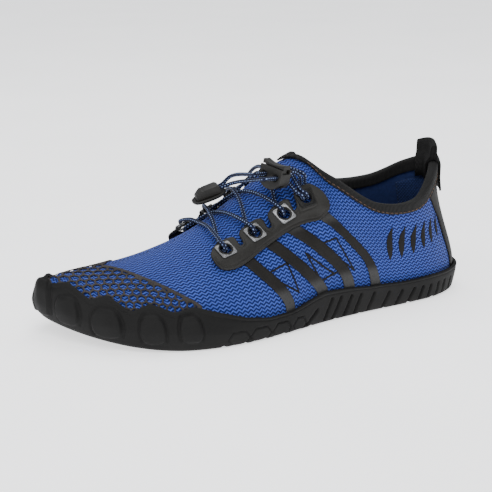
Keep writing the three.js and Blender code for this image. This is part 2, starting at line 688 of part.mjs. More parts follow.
// Flat shape with holes in a locally even scale, cut into triangles.
function holedSheet(outline, holes, limit) {
  const [u0, h0] = outline[0];
  const { along, up } = tangents(u0, h0);
  const flat = ([u, h]) => new THREE.Vector2(u * along.length(), h * up.length());
  const faces = THREE.ShapeUtils.triangulateShape(outline.map(flat),
    holes.map((hole) => hole.map(flat)));
  return refine([...outline, ...holes.flat()], faces, limit);
}
const tabRise = (side) => (u, h) => {
  const t = sideOf(u).t;
  const eye = follow(EYELETS[side].map(([a, b]) => [a, b]), t);
  const s = Math.min(Math.max((h - (eye - 0.105)) / 0.075, 0), 1);
  return PLATE_LIFT + TAB_LIFT * s * s * (3 - 2 * s);
};
const eyeTop = PLATE_LIFT + TAB_LIFT + PLATE;
for (const side of ['lat', 'med']) {
  const toU = ([t, h]) => [side === 'lat' ? t : 2 - t, h];
  const outline = plateOutline(side).map(toU);
  const holes = EYELETS[side].map((e) => circleAround(...toU(e), EYELET_BORE / 2, 8));
  const sheet = holedSheet(outline, holes, 9);
  const rise = tabRise(side);
  addMesh(`lace_plate_${side}`, faceOut(wall(sheet.params, sheet.faces, rise,
    (u, h) => rise(u, h) + PLATE)), 0x3d3c38, 0.6);
  EYELETS[side].forEach((e, i) => {
    const [u, h] = toU(e);
    const ring = circleAround(u, h, EYELET_BORE / 2 - 0.1, 8);
    const frame = holedSheet(squareAround(u, h, FRAME_SIZE / 2, 1), [ring], 7);
    const steel = i < 3;
    addMesh(`eyelet_frame_${side}_${i + 1}`, faceOut(wall(frame.params, frame.faces,
      eyeTop + FIT, eyeTop + FIT + FRAME)), steel ? 0xb9b9b6 : 0x2b2b2a, steel ? 0.35 : 0.6,
    steel ? 0.7 : 0);
  });
}

// ---- lace ----
const laceR = LACE / 2;
const above = eyeTop + FIT + FRAME + laceR + 0.35;
const below = laceR + 0.4;
function tube(points, radius, sides, steps) {
  const curve = new THREE.CatmullRomCurve3(points, false, 'centripetal');
  const shape = new THREE.Shape();
  for (let i = 0; i < sides; i += 1) {
    const a = 2 * Math.PI * i / sides;
    const p = [radius * Math.cos(a), radius * Math.sin(a)];
    if (i === 0) shape.moveTo(...p);
    else shape.lineTo(...p);
  }
  shape.closePath();
  const g = new THREE.ExtrudeGeometry(shape, { steps, extrudePath: curve });
  g.deleteAttribute('normal');
  g.deleteAttribute('uv');
  return faceOut(mergeVertices(g, 1e-4));
}
// The lace at one eyelet: over the frame, down the bore, out under the tab to the throat.
function eyePoint(side, i, shift, throatward, n) {
  const [t, h] = EYELETS[side][i];
  const u = side === 'lat' ? t : 2 - t;
  const { along, up } = tangents(u, h);
  const e1 = along.normalize();
  const e2 = up.addScaledVector(e1, -up.dot(e1)).normalize();
  const forward = side === 'lat' ? -1 : 1;
  return at(u, h, n).addScaledVector(e2, throatward).addScaledVector(e1, forward * shift);
}
const ENTER_SKEW = 2.5;
const LEAVE_SKEW = -3.5;
const enter = (side, i, shift) => {
  const skew = side === 'lat' && i === 3 ? ENTER_SKEW : 0;
  return [
    eyePoint(side, i, shift + skew, 4.6, above),
    eyePoint(side, i, shift + skew / 3, 2, above + 0.1),
    eyePoint(side, i, shift, 0.3, eyeTop),
  ];
};
const leave = (side, i, shift) => {
  const skew = side === 'lat' && i === 3 ? LEAVE_SKEW : 0;
  return [
    eyePoint(side, i, shift, 0.6, below + 1.4),
    eyePoint(side, i, shift + skew / 3, 2.6, below + 0.1),
    eyePoint(side, i, shift + skew, 6.5, below + 0.1),
  ];
};
function crossing(t, h, side, n) {
  return at(side === 'lat' ? t : 2 - t, h, n);
}
const HIGH = below + LACE + 0.5;
function bar(sideA, i, sideB, j, n) {
  const ta = EYELETS[sideA][i][0];
  const tb = EYELETS[sideB][j][0];
  const mix = (f) => ta + (tb - ta) * f;
  return [
    crossing(mix(0.25), 0.84, sideA, (above + n) / 2),
    crossing(mix(0.5), 1, 'lat', n),
    crossing(mix(0.75), 0.84, sideB, (above + n) / 2),
  ];
}
const back = (list) => list.slice().reverse();
const pair = laceR + 0.35;
// A cord leaves the top of one eyelet, crosses the vamp and goes in under the next tab.
const underTab = (side, i, shift = 0) => back(leave(side, i, shift));
const outOfTop = (side, i, shift = 0) => back(enter(side, i, shift));
function across(sideA, i, sideB, j, n) {
  const ta = EYELETS[sideA][i][0];
  const tb = EYELETS[sideB][j][0];
  const clear = i === 3 && j === 3 ? 0.01 : 0;
  const mix = (f) => ta + (tb - ta) * f - (f === 0.5 ? clear : 0);
  return [
    crossing(mix(0.3), 0.85, sideA, (above + 3 * n) / 4),
    crossing(mix(0.5), 1, 'lat', n),
    crossing(mix(0.7), 0.87, sideB, (2 * n + below) / 3),
  ];
}
const LOW = below + 0.2;
const step = (sideA, i, sideB, j, n) => [
  ...across(sideA, i, sideB, j, n), ...underTab(sideB, j), ...outOfTop(sideB, j)];
const runA = [
  ...underTab('lat', 3, -pair),
  ...outOfTop('lat', 3, -pair),
  ...step('lat', 3, 'med', 3, LOW),
  ...step('med', 3, 'lat', 2, HIGH),
  ...step('lat', 2, 'med', 1, LOW),
  ...step('med', 1, 'lat', 0, HIGH),
  ...bar('lat', 0, 'med', 0, LOW),
  ...enter('med', 0, 0),
];
const runB = [
  ...underTab('lat', 3, pair),
  ...outOfTop('lat', 3, pair),
  ...step('lat', 3, 'med', 2, LOW),
  ...step('med', 2, 'lat', 1, HIGH),
  ...across('lat', 1, 'med', 0, LOW),
  ...underTab('med', 0),
];
addMesh('lace_run_a', tube(runA, laceR, 6, 108), 0x1d2436, 0.8);
addMesh('lace_run_b', tube(runB, laceR, 6, 70), 0x1d2436, 0.8);

// ---- cord lock: body, button and spring, on the two free ends of the lace ----
function frameOf(origin, x, z) {
  const ex = x.clone().normalize();
  const ez = z.clone().addScaledVector(ex, -z.dot(ex)).normalize();
  const ey = ez.clone().cross(ex);
  return new THREE.Matrix4().makeBasis(ex, ey, ez).setPosition(origin);
}
// Flat shape in (y, z) made into a block of the given depth centred on x = 0.
function slabX(shape, depth) {
  const g = new THREE.ExtrudeGeometry(shape, { depth, bevelEnabled: false, curveSegments: 5 });
  g.applyMatrix4(new THREE.Matrix4().makeBasis(V(0, 1, 0), V(0, 0, 1), V(1, 0, 0)));
  g.translate(-depth / 2, 0, 0);
  return g;
}
function polygon(points, holes = []) {
  const shape = new THREE.Shape(points.map(([x, y]) => new THREE.Vector2(x, y)));
  shape.holes = holes.map((h) => new THREE.Path(h.map(([x, y]) => new THREE.Vector2(x, y))));
  return shape;
}
const rectangle = (x0, x1, y0, y1) => [[x0, y0], [x1, y0], [x1, y1], [x0, y1]];
const LOCK_SPOT = skin(0.476, 0.84);
const LOCK_RISE = V(1.8, -15, 14.6);
const lockOrigin = LOCK_SPOT.clone().add(LOCK_RISE);
const lockAxis = V(-0.943, -0.318, 0.099);
const pressAxis = V(0.145, -0.125, 0.982);
const lockFrame = frameOf(lockOrigin, lockAxis, pressAxis);
const half = LOCK_WIDTH / 2;
const shoulder = 3;
const bottom = shoulder - LOCK_HEIGHT;
const boreR = laceR + 0.4;
const tongueHalf = CORD_PITCH / 2 + boreR + 1.1;
const tongueX = 3.4;
const pocketFloor = bottom + 1.3;
const lockOutline = [];
for (let i = 0; i <= 10; i += 1) {
  const a = Math.PI * (1 + i / 10);
  lockOutline.push([half * Math.cos(a), -1 + (-1 - bottom) * Math.sin(a)]);
}
lockOutline.push([half, shoulder + PRESS], [-half, shoulder + PRESS]);
let lockBody = toManifold(slabX(polygon(lockOutline), LOCK_DEPTH));
const pocket = slabX(polygon(rectangle(-tongueHalf - FIT, tongueHalf + FIT, pocketFloor,
  shoulder + 1)), tongueX + 2 * FIT);
lockBody = lockBody.subtract(toManifold(pocket));
const saddleDepth = LOCK_DEPTH - 3.2;
const channel = slabX(polygon(rectangle(-half - 1, half + 1, shoulder, shoulder + PRESS + 1)),
  saddleDepth + 0.8);
lockBody = lockBody.subtract(toManifold(channel));
for (const side of [-1, 1]) {
  const hole = new THREE.CylinderGeometry(boreR, boreR, LOCK_DEPTH + 2, 8);
  hole.rotateZ(Math.PI / 2);
  hole.translate(0, side * CORD_PITCH / 2, 0);
  lockBody = lockBody.subtract(toManifold(hole));
}
addMesh('cord_lock_body', placed(fromManifold(lockBody), lockFrame), 0x2e2e2d, 0.6);

const saddleLow = shoulder + PRESS + FIT;
const slotLow = -boreR - 0.2;
const slotHigh = boreR + PRESS + 0.2;
const legBottom = slotLow - 1.2;
const windowHalf = 1.75;
const windowTop = slotHigh + 0.4;
const tongue = polygon([[-tongueHalf, legBottom], [-windowHalf, legBottom],
  [-windowHalf, windowTop], [windowHalf, windowTop], [windowHalf, legBottom],
  [tongueHalf, legBottom], [tongueHalf, saddleLow + 0.5], [-tongueHalf, saddleLow + 0.5]],
[-1, 1].map((s) => rectangle(s * CORD_PITCH / 2 - boreR, s * CORD_PITCH / 2 + boreR,
  slotLow, slotHigh)));
const saddle = polygon([[-half, saddleLow], [half, saddleLow], [half + 0.4, saddleLow + 2.6],
  [half * 0.5, saddleLow + 1.5], [0, saddleLow + 1.2], [-half * 0.5, saddleLow + 1.5],
  [-half - 0.4, saddleLow + 2.6]]);
const button = toManifold(slabX(tongue, tongueX))
  .add(toManifold(slabX(saddle, saddleDepth)));
addMesh('cord_lock_button', placed(fromManifold(button), lockFrame), 0x262625, 0.6);

const WIRE = 0.5;
const COIL = 2.4;
const coilTurns = 4;
const coilLow = pocketFloor + FIT + WIRE / 2;
const coilHigh = windowTop - FIT - WIRE / 2;
const coilPoints = [];
for (let i = 0; i <= coilTurns * 8; i += 1) {
  const a = 2 * Math.PI * i / 8;
  coilPoints.push(V(COIL / 2 * Math.cos(a), COIL / 2 * Math.sin(a),
    coilLow + (coilHigh - coilLow) * i / (coilTurns * 8)));
}
addMesh('cord_lock_spring', placed(tube(coilPoints, WIRE / 2, 4, coilTurns * 8), lockFrame),
  0xa8a8a8, 0.4, 0.9);

// ---- end clip: dish base and snap cover on the cord ends ----
const CLIP_SPOT = skin(2 - 0.405, 0.9);
const clipOrigin = CLIP_SPOT.clone().add(V(-2.5, -2, 13.2));
const clipAxis = V(-0.91, 0.27, -0.32);
const clipFrame = frameOf(clipOrigin, clipAxis, V(-0.25, -0.1, 1));
const oval = [];
for (let i = 0; i < 16; i += 1) {
  const a = 2 * Math.PI * i / 16;
  const c = Math.cos(a);
  const s = Math.sin(a);
  oval.push([CLIP_LENGTH / 2 * Math.sign(c) * Math.abs(c) ** 0.8,
    CLIP_WIDTH / 2 * Math.sign(s) * Math.abs(s) ** 0.8]);
}
const clipBase = new THREE.ExtrudeGeometry(polygon(oval), { depth: CLIP_BASE,
  bevelEnabled: false });
clipBase.translate(0, 0, -CLIP_BASE);
addMesh('end_clip_base', placed(faceOut(fromManifold(toManifold(clipBase))), clipFrame),
  0x33322f, 0.6);
const coverLength = CLIP_LENGTH - 7;
const coverWidth = CLIP_WIDTH - 4.4;
const coverTop = FIT + LACE + 2.4;
const coverShape = polygon([[-coverLength / 2, FIT], [coverLength / 2, FIT],
  [coverLength / 2, FIT + 2.2], [coverLength / 2 - 2.4, coverTop],
  [-coverLength / 2 + 1, coverTop], [-coverLength / 2, coverTop - 1]]);
const coverBlock = new THREE.ExtrudeGeometry(coverShape, { depth: coverWidth,
  bevelEnabled: false });
coverBlock.applyMatrix4(new THREE.Matrix4().makeBasis(V(1, 0, 0), V(0, 0, 1), V(0, -1, 0)));
coverBlock.translate(0, coverWidth / 2, 0);
const CLIP_PITCH = LACE + 1.2;
const SEAT = 6;
let cover = toManifold(coverBlock);
for (const side of [-1, 1]) {
  const hole = new THREE.CylinderGeometry(laceR + 0.35, laceR + 0.35, 2 * SEAT, 8);
  hole.rotateZ(Math.PI / 2);
  hole.translate(-coverLength / 2, side * CLIP_PITCH / 2, FIT + 0.9 + laceR);
  cover = cover.subtract(toManifold(hole));
}
addMesh('end_clip_cover', placed(fromManifold(cover), clipFrame), 0x242423, 0.55);

// Free ends of the lace: from under the last tab, through the lock, to the clip.
const lockPoint = (x, y, z) => V(x, y, z).applyMatrix4(lockFrame);
const clipPoint = (x, y, z) => V(x, y, z).applyMatrix4(clipFrame);
[['a', -pair, -1], ['b', pair, 1]].forEach(([tag, shift, side]) => {
  const y = side * CORD_PITCH / 2;
  const q = side * CLIP_PITCH / 2;
  const seatZ = FIT + 0.9 + laceR;
  addMesh(`lace_tail_${tag}`, tube([
    eyePoint('lat', 3, shift + LEAVE_SKEW - 0.2, 6.95, below + 0.15),
    eyePoint('lat', 3, shift + LEAVE_SKEW - 1, 10.5, below + 1.2),
    eyePoint('lat', 3, shift + LEAVE_SKEW - 0.5, 13.5, below + 6),
    lockPoint(-LOCK_DEPTH / 2 - 6, y, 3.2),
    lockPoint(-LOCK_DEPTH / 2 - 2, y, 0),
    lockPoint(-LOCK_DEPTH / 2, y, 0),
    lockPoint(LOCK_DEPTH / 2, y, 0),
    lockPoint(LOCK_DEPTH / 2 + LOCK_SLIDE, y, 0),
    lockPoint(LOCK_DEPTH / 2 + LOCK_SLIDE + 1.7, y, 0),
    clipPoint(-coverLength / 2 - 9, q * 1.3, seatZ + (side > 0 ? 0 : 2.6)),
    clipPoint(-coverLength / 2 - 2, q, seatZ),
    clipPoint(-coverLength / 2 + SEAT - 1.2, q, seatZ),
  ], laceR, 8, 36), 0x1d2436, 0.8);
});

export default root;
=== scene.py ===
import math
import bmesh
import bpy
import numpy as np
from mathutils import Matrix, Vector


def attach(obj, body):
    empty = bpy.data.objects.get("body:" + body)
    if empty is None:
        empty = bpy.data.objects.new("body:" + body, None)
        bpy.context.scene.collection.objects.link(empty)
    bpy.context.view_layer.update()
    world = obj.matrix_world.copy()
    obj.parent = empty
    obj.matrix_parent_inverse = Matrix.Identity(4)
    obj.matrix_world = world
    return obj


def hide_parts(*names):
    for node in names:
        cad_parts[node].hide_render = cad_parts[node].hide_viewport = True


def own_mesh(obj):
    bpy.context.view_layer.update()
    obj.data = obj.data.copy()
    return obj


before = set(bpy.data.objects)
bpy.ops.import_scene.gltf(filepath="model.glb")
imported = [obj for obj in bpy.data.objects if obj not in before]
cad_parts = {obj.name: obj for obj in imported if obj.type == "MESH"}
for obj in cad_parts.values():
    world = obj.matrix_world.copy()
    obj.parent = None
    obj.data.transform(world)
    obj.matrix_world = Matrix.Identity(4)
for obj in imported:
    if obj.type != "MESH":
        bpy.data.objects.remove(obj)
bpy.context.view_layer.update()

# ---- Studio ----
# A pale floor under one large soft light from above, a fill from the camera side
# and a rim light behind, with the camera low on the lateral side of the toe.
VIEW_TURN, VIEW_RISE = math.radians(-30.0), math.radians(15.0)
VIEW_AIM, VIEW_DISTANCE = Vector((0.0, 0.0, 0.040)), 0.800
SENSOR_WIDTH, LENS, SHIFT_ACROSS, SHIFT_UP = 36.0, 93.66, -0.0407, 0.004
SKY_COLOUR, SKY_STRENGTH = (0.93, 0.96, 1.0, 1.0), 0.62
FLOOR_SIZE = 6.0
view_back = Vector((math.sin(VIEW_TURN) * math.cos(VIEW_RISE),
                    -math.cos(VIEW_TURN) * math.cos(VIEW_RISE), math.sin(VIEW_RISE)))
view_right = Vector((math.cos(VIEW_TURN), math.sin(VIEW_TURN), 0.0))
view_up = view_back.cross(view_right)
camera_data = bpy.data.cameras.new("camera")
camera_data.sensor_width, camera_data.lens = SENSOR_WIDTH, LENS
camera_data.shift_x, camera_data.shift_y = SHIFT_ACROSS, SHIFT_UP
camera_data.clip_start, camera_data.clip_end = 0.05, 20.0
camera = bpy.data.objects.new("camera", camera_data)
turn = Matrix((view_right, view_up, view_back)).transposed().to_4x4()
camera.matrix_world = Matrix.Translation(VIEW_AIM + view_back * VIEW_DISTANCE) @ turn
bpy.context.scene.collection.objects.link(camera)
bpy.context.scene.camera = camera

for lamp, place, size, watts in (("key_light", (-0.5, -0.9, 1.3), 1.1, 17.0),
                                 ("fill_light", (-1.2, -0.2, 0.6), 1.2, 5.0),
                                 ("top_light", (0.2, 0.5, 1.4), 1.2, 11.0)):
    light = bpy.data.lights.new(lamp, "AREA")
    light.shape, light.size, light.energy = "DISK", size, watts
    holder = bpy.data.objects.new(lamp, light)
    holder.location = place
    holder.rotation_euler = (VIEW_AIM - Vector(place)).to_track_quat("-Z", "Y").to_euler()
    bpy.context.scene.collection.objects.link(holder)
world = bpy.data.worlds.new("studio")
bpy.context.scene.world = world
world.use_nodes = True
sky = world.node_tree.nodes["Background"]
sky.inputs["Color"].default_value = SKY_COLOUR
sky.inputs["Strength"].default_value = SKY_STRENGTH


class Wire:
    """An end of a shader node; plus, minus, times and over join it to others by Math nodes."""

    def __init__(self, tree, end=None):
        self.tree, self.end = tree, end

    def node(self, kind, settings=None, sockets=None, out=0):
        made = self.tree.nodes.new("ShaderNode" + kind)
        for name, value in (settings or {}).items():
            if name == "stops":
                while len(made.color_ramp.elements) < len(value):
                    made.color_ramp.elements.new(1.0)
                for element, (place, shade) in zip(made.color_ramp.elements, value):
                    element.position = place
                    element.color = (*shade, 1.0) if isinstance(shade, tuple) else (shade,) * 3 + (1.0,)
            else:
                setattr(made, name, value)
        for name, value in (sockets or {}).items():
            if isinstance(value, Wire):
                self.tree.links.new(value.end, made.inputs[name])
            else:
                made.inputs[name].default_value = value
        return Wire(self.tree, made.outputs[out])

    def maths(self, operation, first, second=0.0):
        return self.node("Math", {"operation": operation}, {0: first, 1: second})

    def __add__(self, other): return self.maths("ADD", self, other)
    def __radd__(self, other): return self.maths("ADD", other, self)
    def __sub__(self, other): return self.maths("SUBTRACT", self, other)
    def __rsub__(self, other): return self.maths("SUBTRACT", other, self)
    def __mul__(self, other): return self.maths("MULTIPLY", self, other)
    def __rmul__(self, other): return self.maths("MULTIPLY", other, self)
    def __truediv__(self, other): return self.maths("DIVIDE", self, other)
    def __mod__(self, other): return self.maths("FLOORED_MODULO", self, other)
    def __abs__(self): return self.maths("ABSOLUTE", self)
    def wave(self): return self.maths("COSINE", self * math.tau) * 0.5 + 0.5
    def most(self, other): return self.maths("MAXIMUM", self, other)

    def ramp(self, *stops):
        return self.node("ValToRGB", {"stops": stops}, {0: self})

    def step(self, low, high):
        return self.node("MapRange", {"interpolation_type": "SMOOTHSTEP"},
                         {0: self, 1: low, 2: high, 3: 0.0, 4: 1.0})

    def tint(self, amount, other):
        return self.node("Mix", {"data_type": "RGBA"}, {0: amount, 6: self, 7: other}, 2)

    def laid(self, name, axis):
        """One number of a coordinate that was laid on the piece's points, in millimetres."""
        end = self.node("Attribute", {"attribute_name": name}, None, 1)
        return self.node("SeparateXYZ", None, {0: end}, axis)

    def grain(self, scale, detail=2.0, rough=0.5):
        """Noise by place on the piece, in grains to the metre."""
        place = self.node("TexCoord", None, None, 3)
        return self.node("TexNoise", None, {"Vector": place, "Scale": scale, "Detail": detail,
                                            "Roughness": rough})


MATT_SPECULAR = 0.16


def finish_of(name, paint, **fixed):
    """A material: `paint` gives what varies over it, with Height in millimetres."""
    material = bpy.data.materials.new(name)
    material.use_nodes = True
    tree = material.node_tree
    tree.nodes.clear()
    shader = tree.nodes.new("ShaderNodeBsdfPrincipled")
    out = tree.nodes.new("ShaderNodeOutputMaterial")
    tree.links.new(shader.outputs[0], out.inputs[0])
    start = Wire(tree)
    varying = paint(start)
    if "Height" in varying:
        varying["Normal"] = start.node("Bump", None, {
            "Distance": 0.001, "Strength": varying.pop("Strength", 1.0),
            "Height": varying.pop("Height")})
    for socket, value in {"Specular_IOR_Level": MATT_SPECULAR, **fixed, **varying}.items():
        socket = socket.replace("_", " ")
        if isinstance(value, Wire):
            tree.links.new(value.end, shader.inputs[socket])
        else:
            shader.inputs[socket].default_value = (*value, 1.0) if isinstance(value, tuple) else value
    return material


def floor_paint(start):
    tone = start.grain(6.0).ramp((0.3, (0.90, 0.90, 0.91)), (0.7, (0.93, 0.93, 0.94)))
    return {"Base Color": tone, "Emission Color": tone, "Roughness": 0.6 + start.grain(40.0) * 0.1}


floor_mesh = bpy.data.meshes.new("floor")
floor_mesh.from_pydata([(-FLOOR_SIZE, -FLOOR_SIZE, 0), (FLOOR_SIZE, -FLOOR_SIZE, 0),
                        (FLOOR_SIZE, FLOOR_SIZE, 0), (-FLOOR_SIZE, FLOOR_SIZE, 0)], [], [(0, 1, 2, 3)])
floor = bpy.data.objects.new("floor", floor_mesh)
bpy.context.scene.collection.objects.link(floor)
floor_mesh.materials.append(finish_of("pale_floor", floor_paint, Emission_Strength=1.3))

# ---- Knit upper ----
# One tube of blue zigzag knit over the whole foot, closed over the vamp and open at the
# collar. It is stretched on a last, so every other piece is given by its place on that last.
FAN = [0, 35, 62, 80, 90, 90, 90, 90, 92, 100, 135, 180]
OUTLINE_X = [[-139, -128, -106, -76, -46, -14, 18, 50, 82, 110, 131, 138],
             [-139, -135, -114, -82, -50, -16, 18, 50, 82, 110, 131, 138]]
OUTLINE_Y = [[20, -10, -35, -50, -54, -50, -43, -39, -37, -33, -21, 0],
             [20, 40, 49, 49, 45, 38, 33, 32, 33, 31, 20, 0]]
FEATHER_Z = [13, 10, 7, 5, 4.5, 5, 7, 8, 7, 6, 6, 6]
TOP_X = [-126, -112, -94, -71, -44, -16, 17, 34, 62, 94, 116, 127]
TOP_Y = [[22, 19, 16, 13, 10, 7, 2, -22, -31, -29, -17, 0],
         [22, 19, 16, 13, 10, 7, 2, 25, 31, 28, 16, 0]]
TOP_Z = [[36, 37.5, 40, 45.5, 56, 74, 95.5, 84.5, 66.5, 64.5, 77.5, 85.5],
         [36, 37.5, 40, 45.5, 56, 74, 95.5, 88.5, 71.5, 70.5, 80.5, 85.5]]
LEAN = [0, 0, 0, 0, 0, 0, 10, 60, 80, 88, 95, 95]
BULGE = [6, 5, 5, 5, 5, 4, 3, 3, 4, 6, 9, 10]
RISE = [20, 20, 21, 22, 24, 26, 32, 30, 22, 20, 18, 18]
REACH = [[10, 13, 18, 22, 24, 24, 26, 26, 22, 22, 26, 34],
         [10, 11, 11, 12, 14, 17, 24, 26, 22, 22, 26, 34]]
FEATHER_INSET = 3.0
THROAT = 6 / 11
KNIT, FIT = 1.4, 0.3
COLUMNS = 44


def spline(keys, t, before, after):
    run = np.array([before, *keys, after], float)
    s = np.clip(t, 0, 1) * (len(keys) - 1)
    i = np.minimum(s.astype(int), len(keys) - 2)
    f = s - i
    a, b, c, d = run[i], run[i + 1], run[i + 2], run[i + 3]
    return 0.5 * (2 * b + (c - a) * f + (2 * a - 5 * b + 4 * c - d) * f ** 2
                  + (3 * b - a - 3 * c + d) * f ** 3)


def going_on(keys, t):
    return spline(keys, t, 2 * keys[0] - keys[1], 2 * keys[-1] - keys[-2])


def either(pair, side, t, ends):
    """A key table of each side, read for points of either side."""
    lateral = spline(pair[0], t, *ends(pair[0], pair[1]))
    medial = spline(pair[1], t, *ends(pair[1], pair[0]))
    return np.where(side < 0, lateral, medial), 0.5 * (lateral + medial)


def skin(u, h):
    """Point on the outer face: u runs round from the toe, 0 to 1 lateral and 1 to 2 medial."""
    u, h = np.broadcast_arrays(np.asarray(u, float), np.asarray(h, float))
    w = u % 2
    side = np.where(w <= 1, -1.0, 1.0)
    t = np.where(w <= 1, w, 2 - w)
    fan = np.radians(spline(FAN, t, -FAN[1], 360 - FAN[-2]))
    out = np.stack([-np.cos(fan), side * np.sin(fan), 0 * fan], -1)
    loop = lambda own, other: (other[1], other[-2])
    ridge = lambda own, other: (2 * own[0] - own[1], other[-2])
    foot = np.stack([either(OUTLINE_X, side, t, loop)[0], either(OUTLINE_Y, side, t, loop)[0],
                     going_on(FEATHER_Z, t)], -1)
    foot[..., :2] -= FEATHER_INSET * out[..., :2]
    on_ridge = t <= THROAT + 1e-9
    top = np.stack([np.where(on_ridge, both, own) for own, both in (
        either([TOP_X, TOP_X], side, t, ridge), either(TOP_Y, side, t, ridge),
        either(TOP_Z, side, t, ridge))], -1)
    lean = np.radians(going_on(LEAN, t))[..., None]
    reach = np.where(side < 0, going_on(REACH[0], t), going_on(REACH[1], t))[..., None]
    up = np.array([0, 0, 1.0])
    low = foot + out * going_on(BULGE, t)[..., None] + up * going_on(RISE, t)[..., None]
    high = top + reach * (out * np.cos(lean) - up * np.sin(lean))
    h = h[..., None]
    g = 1 - h
    return g ** 3 * foot + 3 * g * g * h * low + 3 * g * h * h * high + h ** 3 * top


def unit(v):
    return v / np.maximum(np.linalg.norm(v, axis=-1, keepdims=True), 1e-9)


def smooth(x):
    x = np.clip(x, 0, 1)
    return x * x * (3 - 2 * x)


def side_share(u):
    w = np.asarray(u, float) % 2
    return np.where(w <= 1, w, 2 - w)


def along_up(u, h):
    e = 0.004
    return ((skin(u + e, h) - skin(u - e, h)) / (2 * e), (skin(u, h + e) - skin(u, h - e)) / (2 * e))


def normal(u, h):
    """Outward normal, turned to the mean of both sides where they meet over the vamp."""
    def one(v):
        n = np.cross(*along_up(v, h))
        flat = np.linalg.norm(n, axis=-1, keepdims=True) < 60
        return np.where(flat, unit(np.array([-0.1, 0, 1.0])), unit(n))
    u, h = np.broadcast_arrays(np.asarray(u, float), np.asarray(h, float))
    own = one(u)
    meet = (smooth((h - 0.8) / 0.2) * (1 - smooth((side_share(u) - THROAT) / 0.03)))[..., None]
    return unit(own * (1 - meet) + unit(own + one(-u)) * meet)


def at(u, h, n):
    n = np.asarray(n, float)
    return skin(u, h) + normal(u, h) * n[..., None]


# Laid-out cloth: millimetres round the shoe at mid height, and up each column.
table_u = np.linspace(0, 2, 1409)
table_h = np.linspace(0, 1, 121)
table_skin = skin(table_u[:, None], table_h[None, :])
middle = table_skin[:, 60]
table_s = np.concatenate([[0], np.cumsum(np.linalg.norm(np.diff(middle, axis=0), axis=1))])
table_v = np.concatenate([np.zeros((len(table_u), 1)), np.cumsum(
    np.linalg.norm(np.diff(table_skin, axis=1), axis=2), axis=1)], 1)


def laid_out(u, h):
    u, h = np.broadcast_arrays(np.asarray(u, float), np.asarray(h, float))
    turns = np.floor(u / 2)
    w = u - 2 * turns
    s = np.interp(w, table_u, table_s) + turns * table_s[-1]
    x = w / 2 * (len(table_u) - 1)
    y = np.clip(h, 0, 1) * (len(table_h) - 1)
    i = np.minimum(x.astype(int), len(table_u) - 2)
    j = np.minimum(y.astype(int), len(table_h) - 2)
    f, g = x - i, y - j
    v = ((table_v[i, j] * (1 - g) + table_v[i, j + 1] * g) * (1 - f)
         + (table_v[i + 1, j] * (1 - g) + table_v[i + 1, j + 1] * g) * f)
    return s, v + np.minimum(h, 0) * 60


def piece(name, points, faces, material, body="shoe", lays=None, sharp=False):
    """A closed mesh from points in millimetres, smooth, with coordinates laid on its points."""
    mesh = bpy.data.meshes.new(name)
    mesh.from_pydata((np.asarray(points) * 0.001).tolist(), [], [tuple(int(i) for i in f) for f in faces])
    for key, values in (lays or {}).items():
        data = mesh.attributes.new(key, "FLOAT_VECTOR", "POINT")
        data.data.foreach_set("vector", np.asarray(values, np.float32).ravel())
    edit = bmesh.new()
    edit.from_mesh(mesh)
    bmesh.ops.recalc_face_normals(edit, faces=edit.faces)
    edit.to_mesh(mesh)
    edit.free()
    mesh.polygons.foreach_set("use_smooth", [not sharp] * len(mesh.polygons))
    mesh.materials.append(material)
    made = bpy.data.objects.new(name, mesh)
    bpy.context.scene.collection.objects.link(made)
    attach(made, body)
    return made


def slab(u, h, low, high, keep=None):
    """Points and faces of a closed layer between two heights over a grid of places."""
    rows, cols = u.shape
    t = side_share(u)
    ridge = (h > 1 - 1e-6) & (t <= THROAT + 1e-9)
    key_u = np.where(ridge, t, u % 2)
    keys = np.round(np.stack([key_u, h], -1).reshape(-1, 2) * 1e6).astype(np.int64)
    _, first, index = np.unique(keys, axis=0, return_index=True, return_inverse=True)
    index = index.reshape(rows, cols)
    flat_u, flat_h = u.ravel()[first], h.ravel()[first]
    top = at(flat_u, flat_h, high.ravel()[first])
    foot = at(flat_u, flat_h, low.ravel()[first])
    n = len(first)
    a, b = index[:-1, :-1], index[1:, :-1]
    c, d = index[1:, 1:], index[:-1, 1:]
    quads = np.stack([a, b, c, d], -1).reshape(-1, 4)
    if keep is not None:
        quads = quads[keep.ravel()]
    faces, edges = [], {}
    for quad in quads.tolist():
        ring = [v for k, v in enumerate(quad) if v != quad[k - 1]]
        if len(set(ring)) < 3:
            continue
        faces.append(ring)
        faces.append([v + n for v in reversed(ring)])
        for k, v in enumerate(ring):
            pair = (ring[k - 1], v)
            if (pair[1], pair[0]) in edges:
                del edges[(pair[1], pair[0])]
            else:
                edges[pair] = True
    for p, q in edges:
        faces.append([q, p, p + n, q + n])
    used = sorted({v for f in faces for v in f})
    move = {v: k for k, v in enumerate(used)}
    s, v = laid_out(flat_u, flat_h)
    points = np.concatenate([top, foot])[used]
    cloth = np.stack([s, v, 0 * s], -1)
    cloth = np.concatenate([cloth, cloth + [0, 0, 1]])[used]
    return points, [[move[v] for v in f] for f in faces], cloth


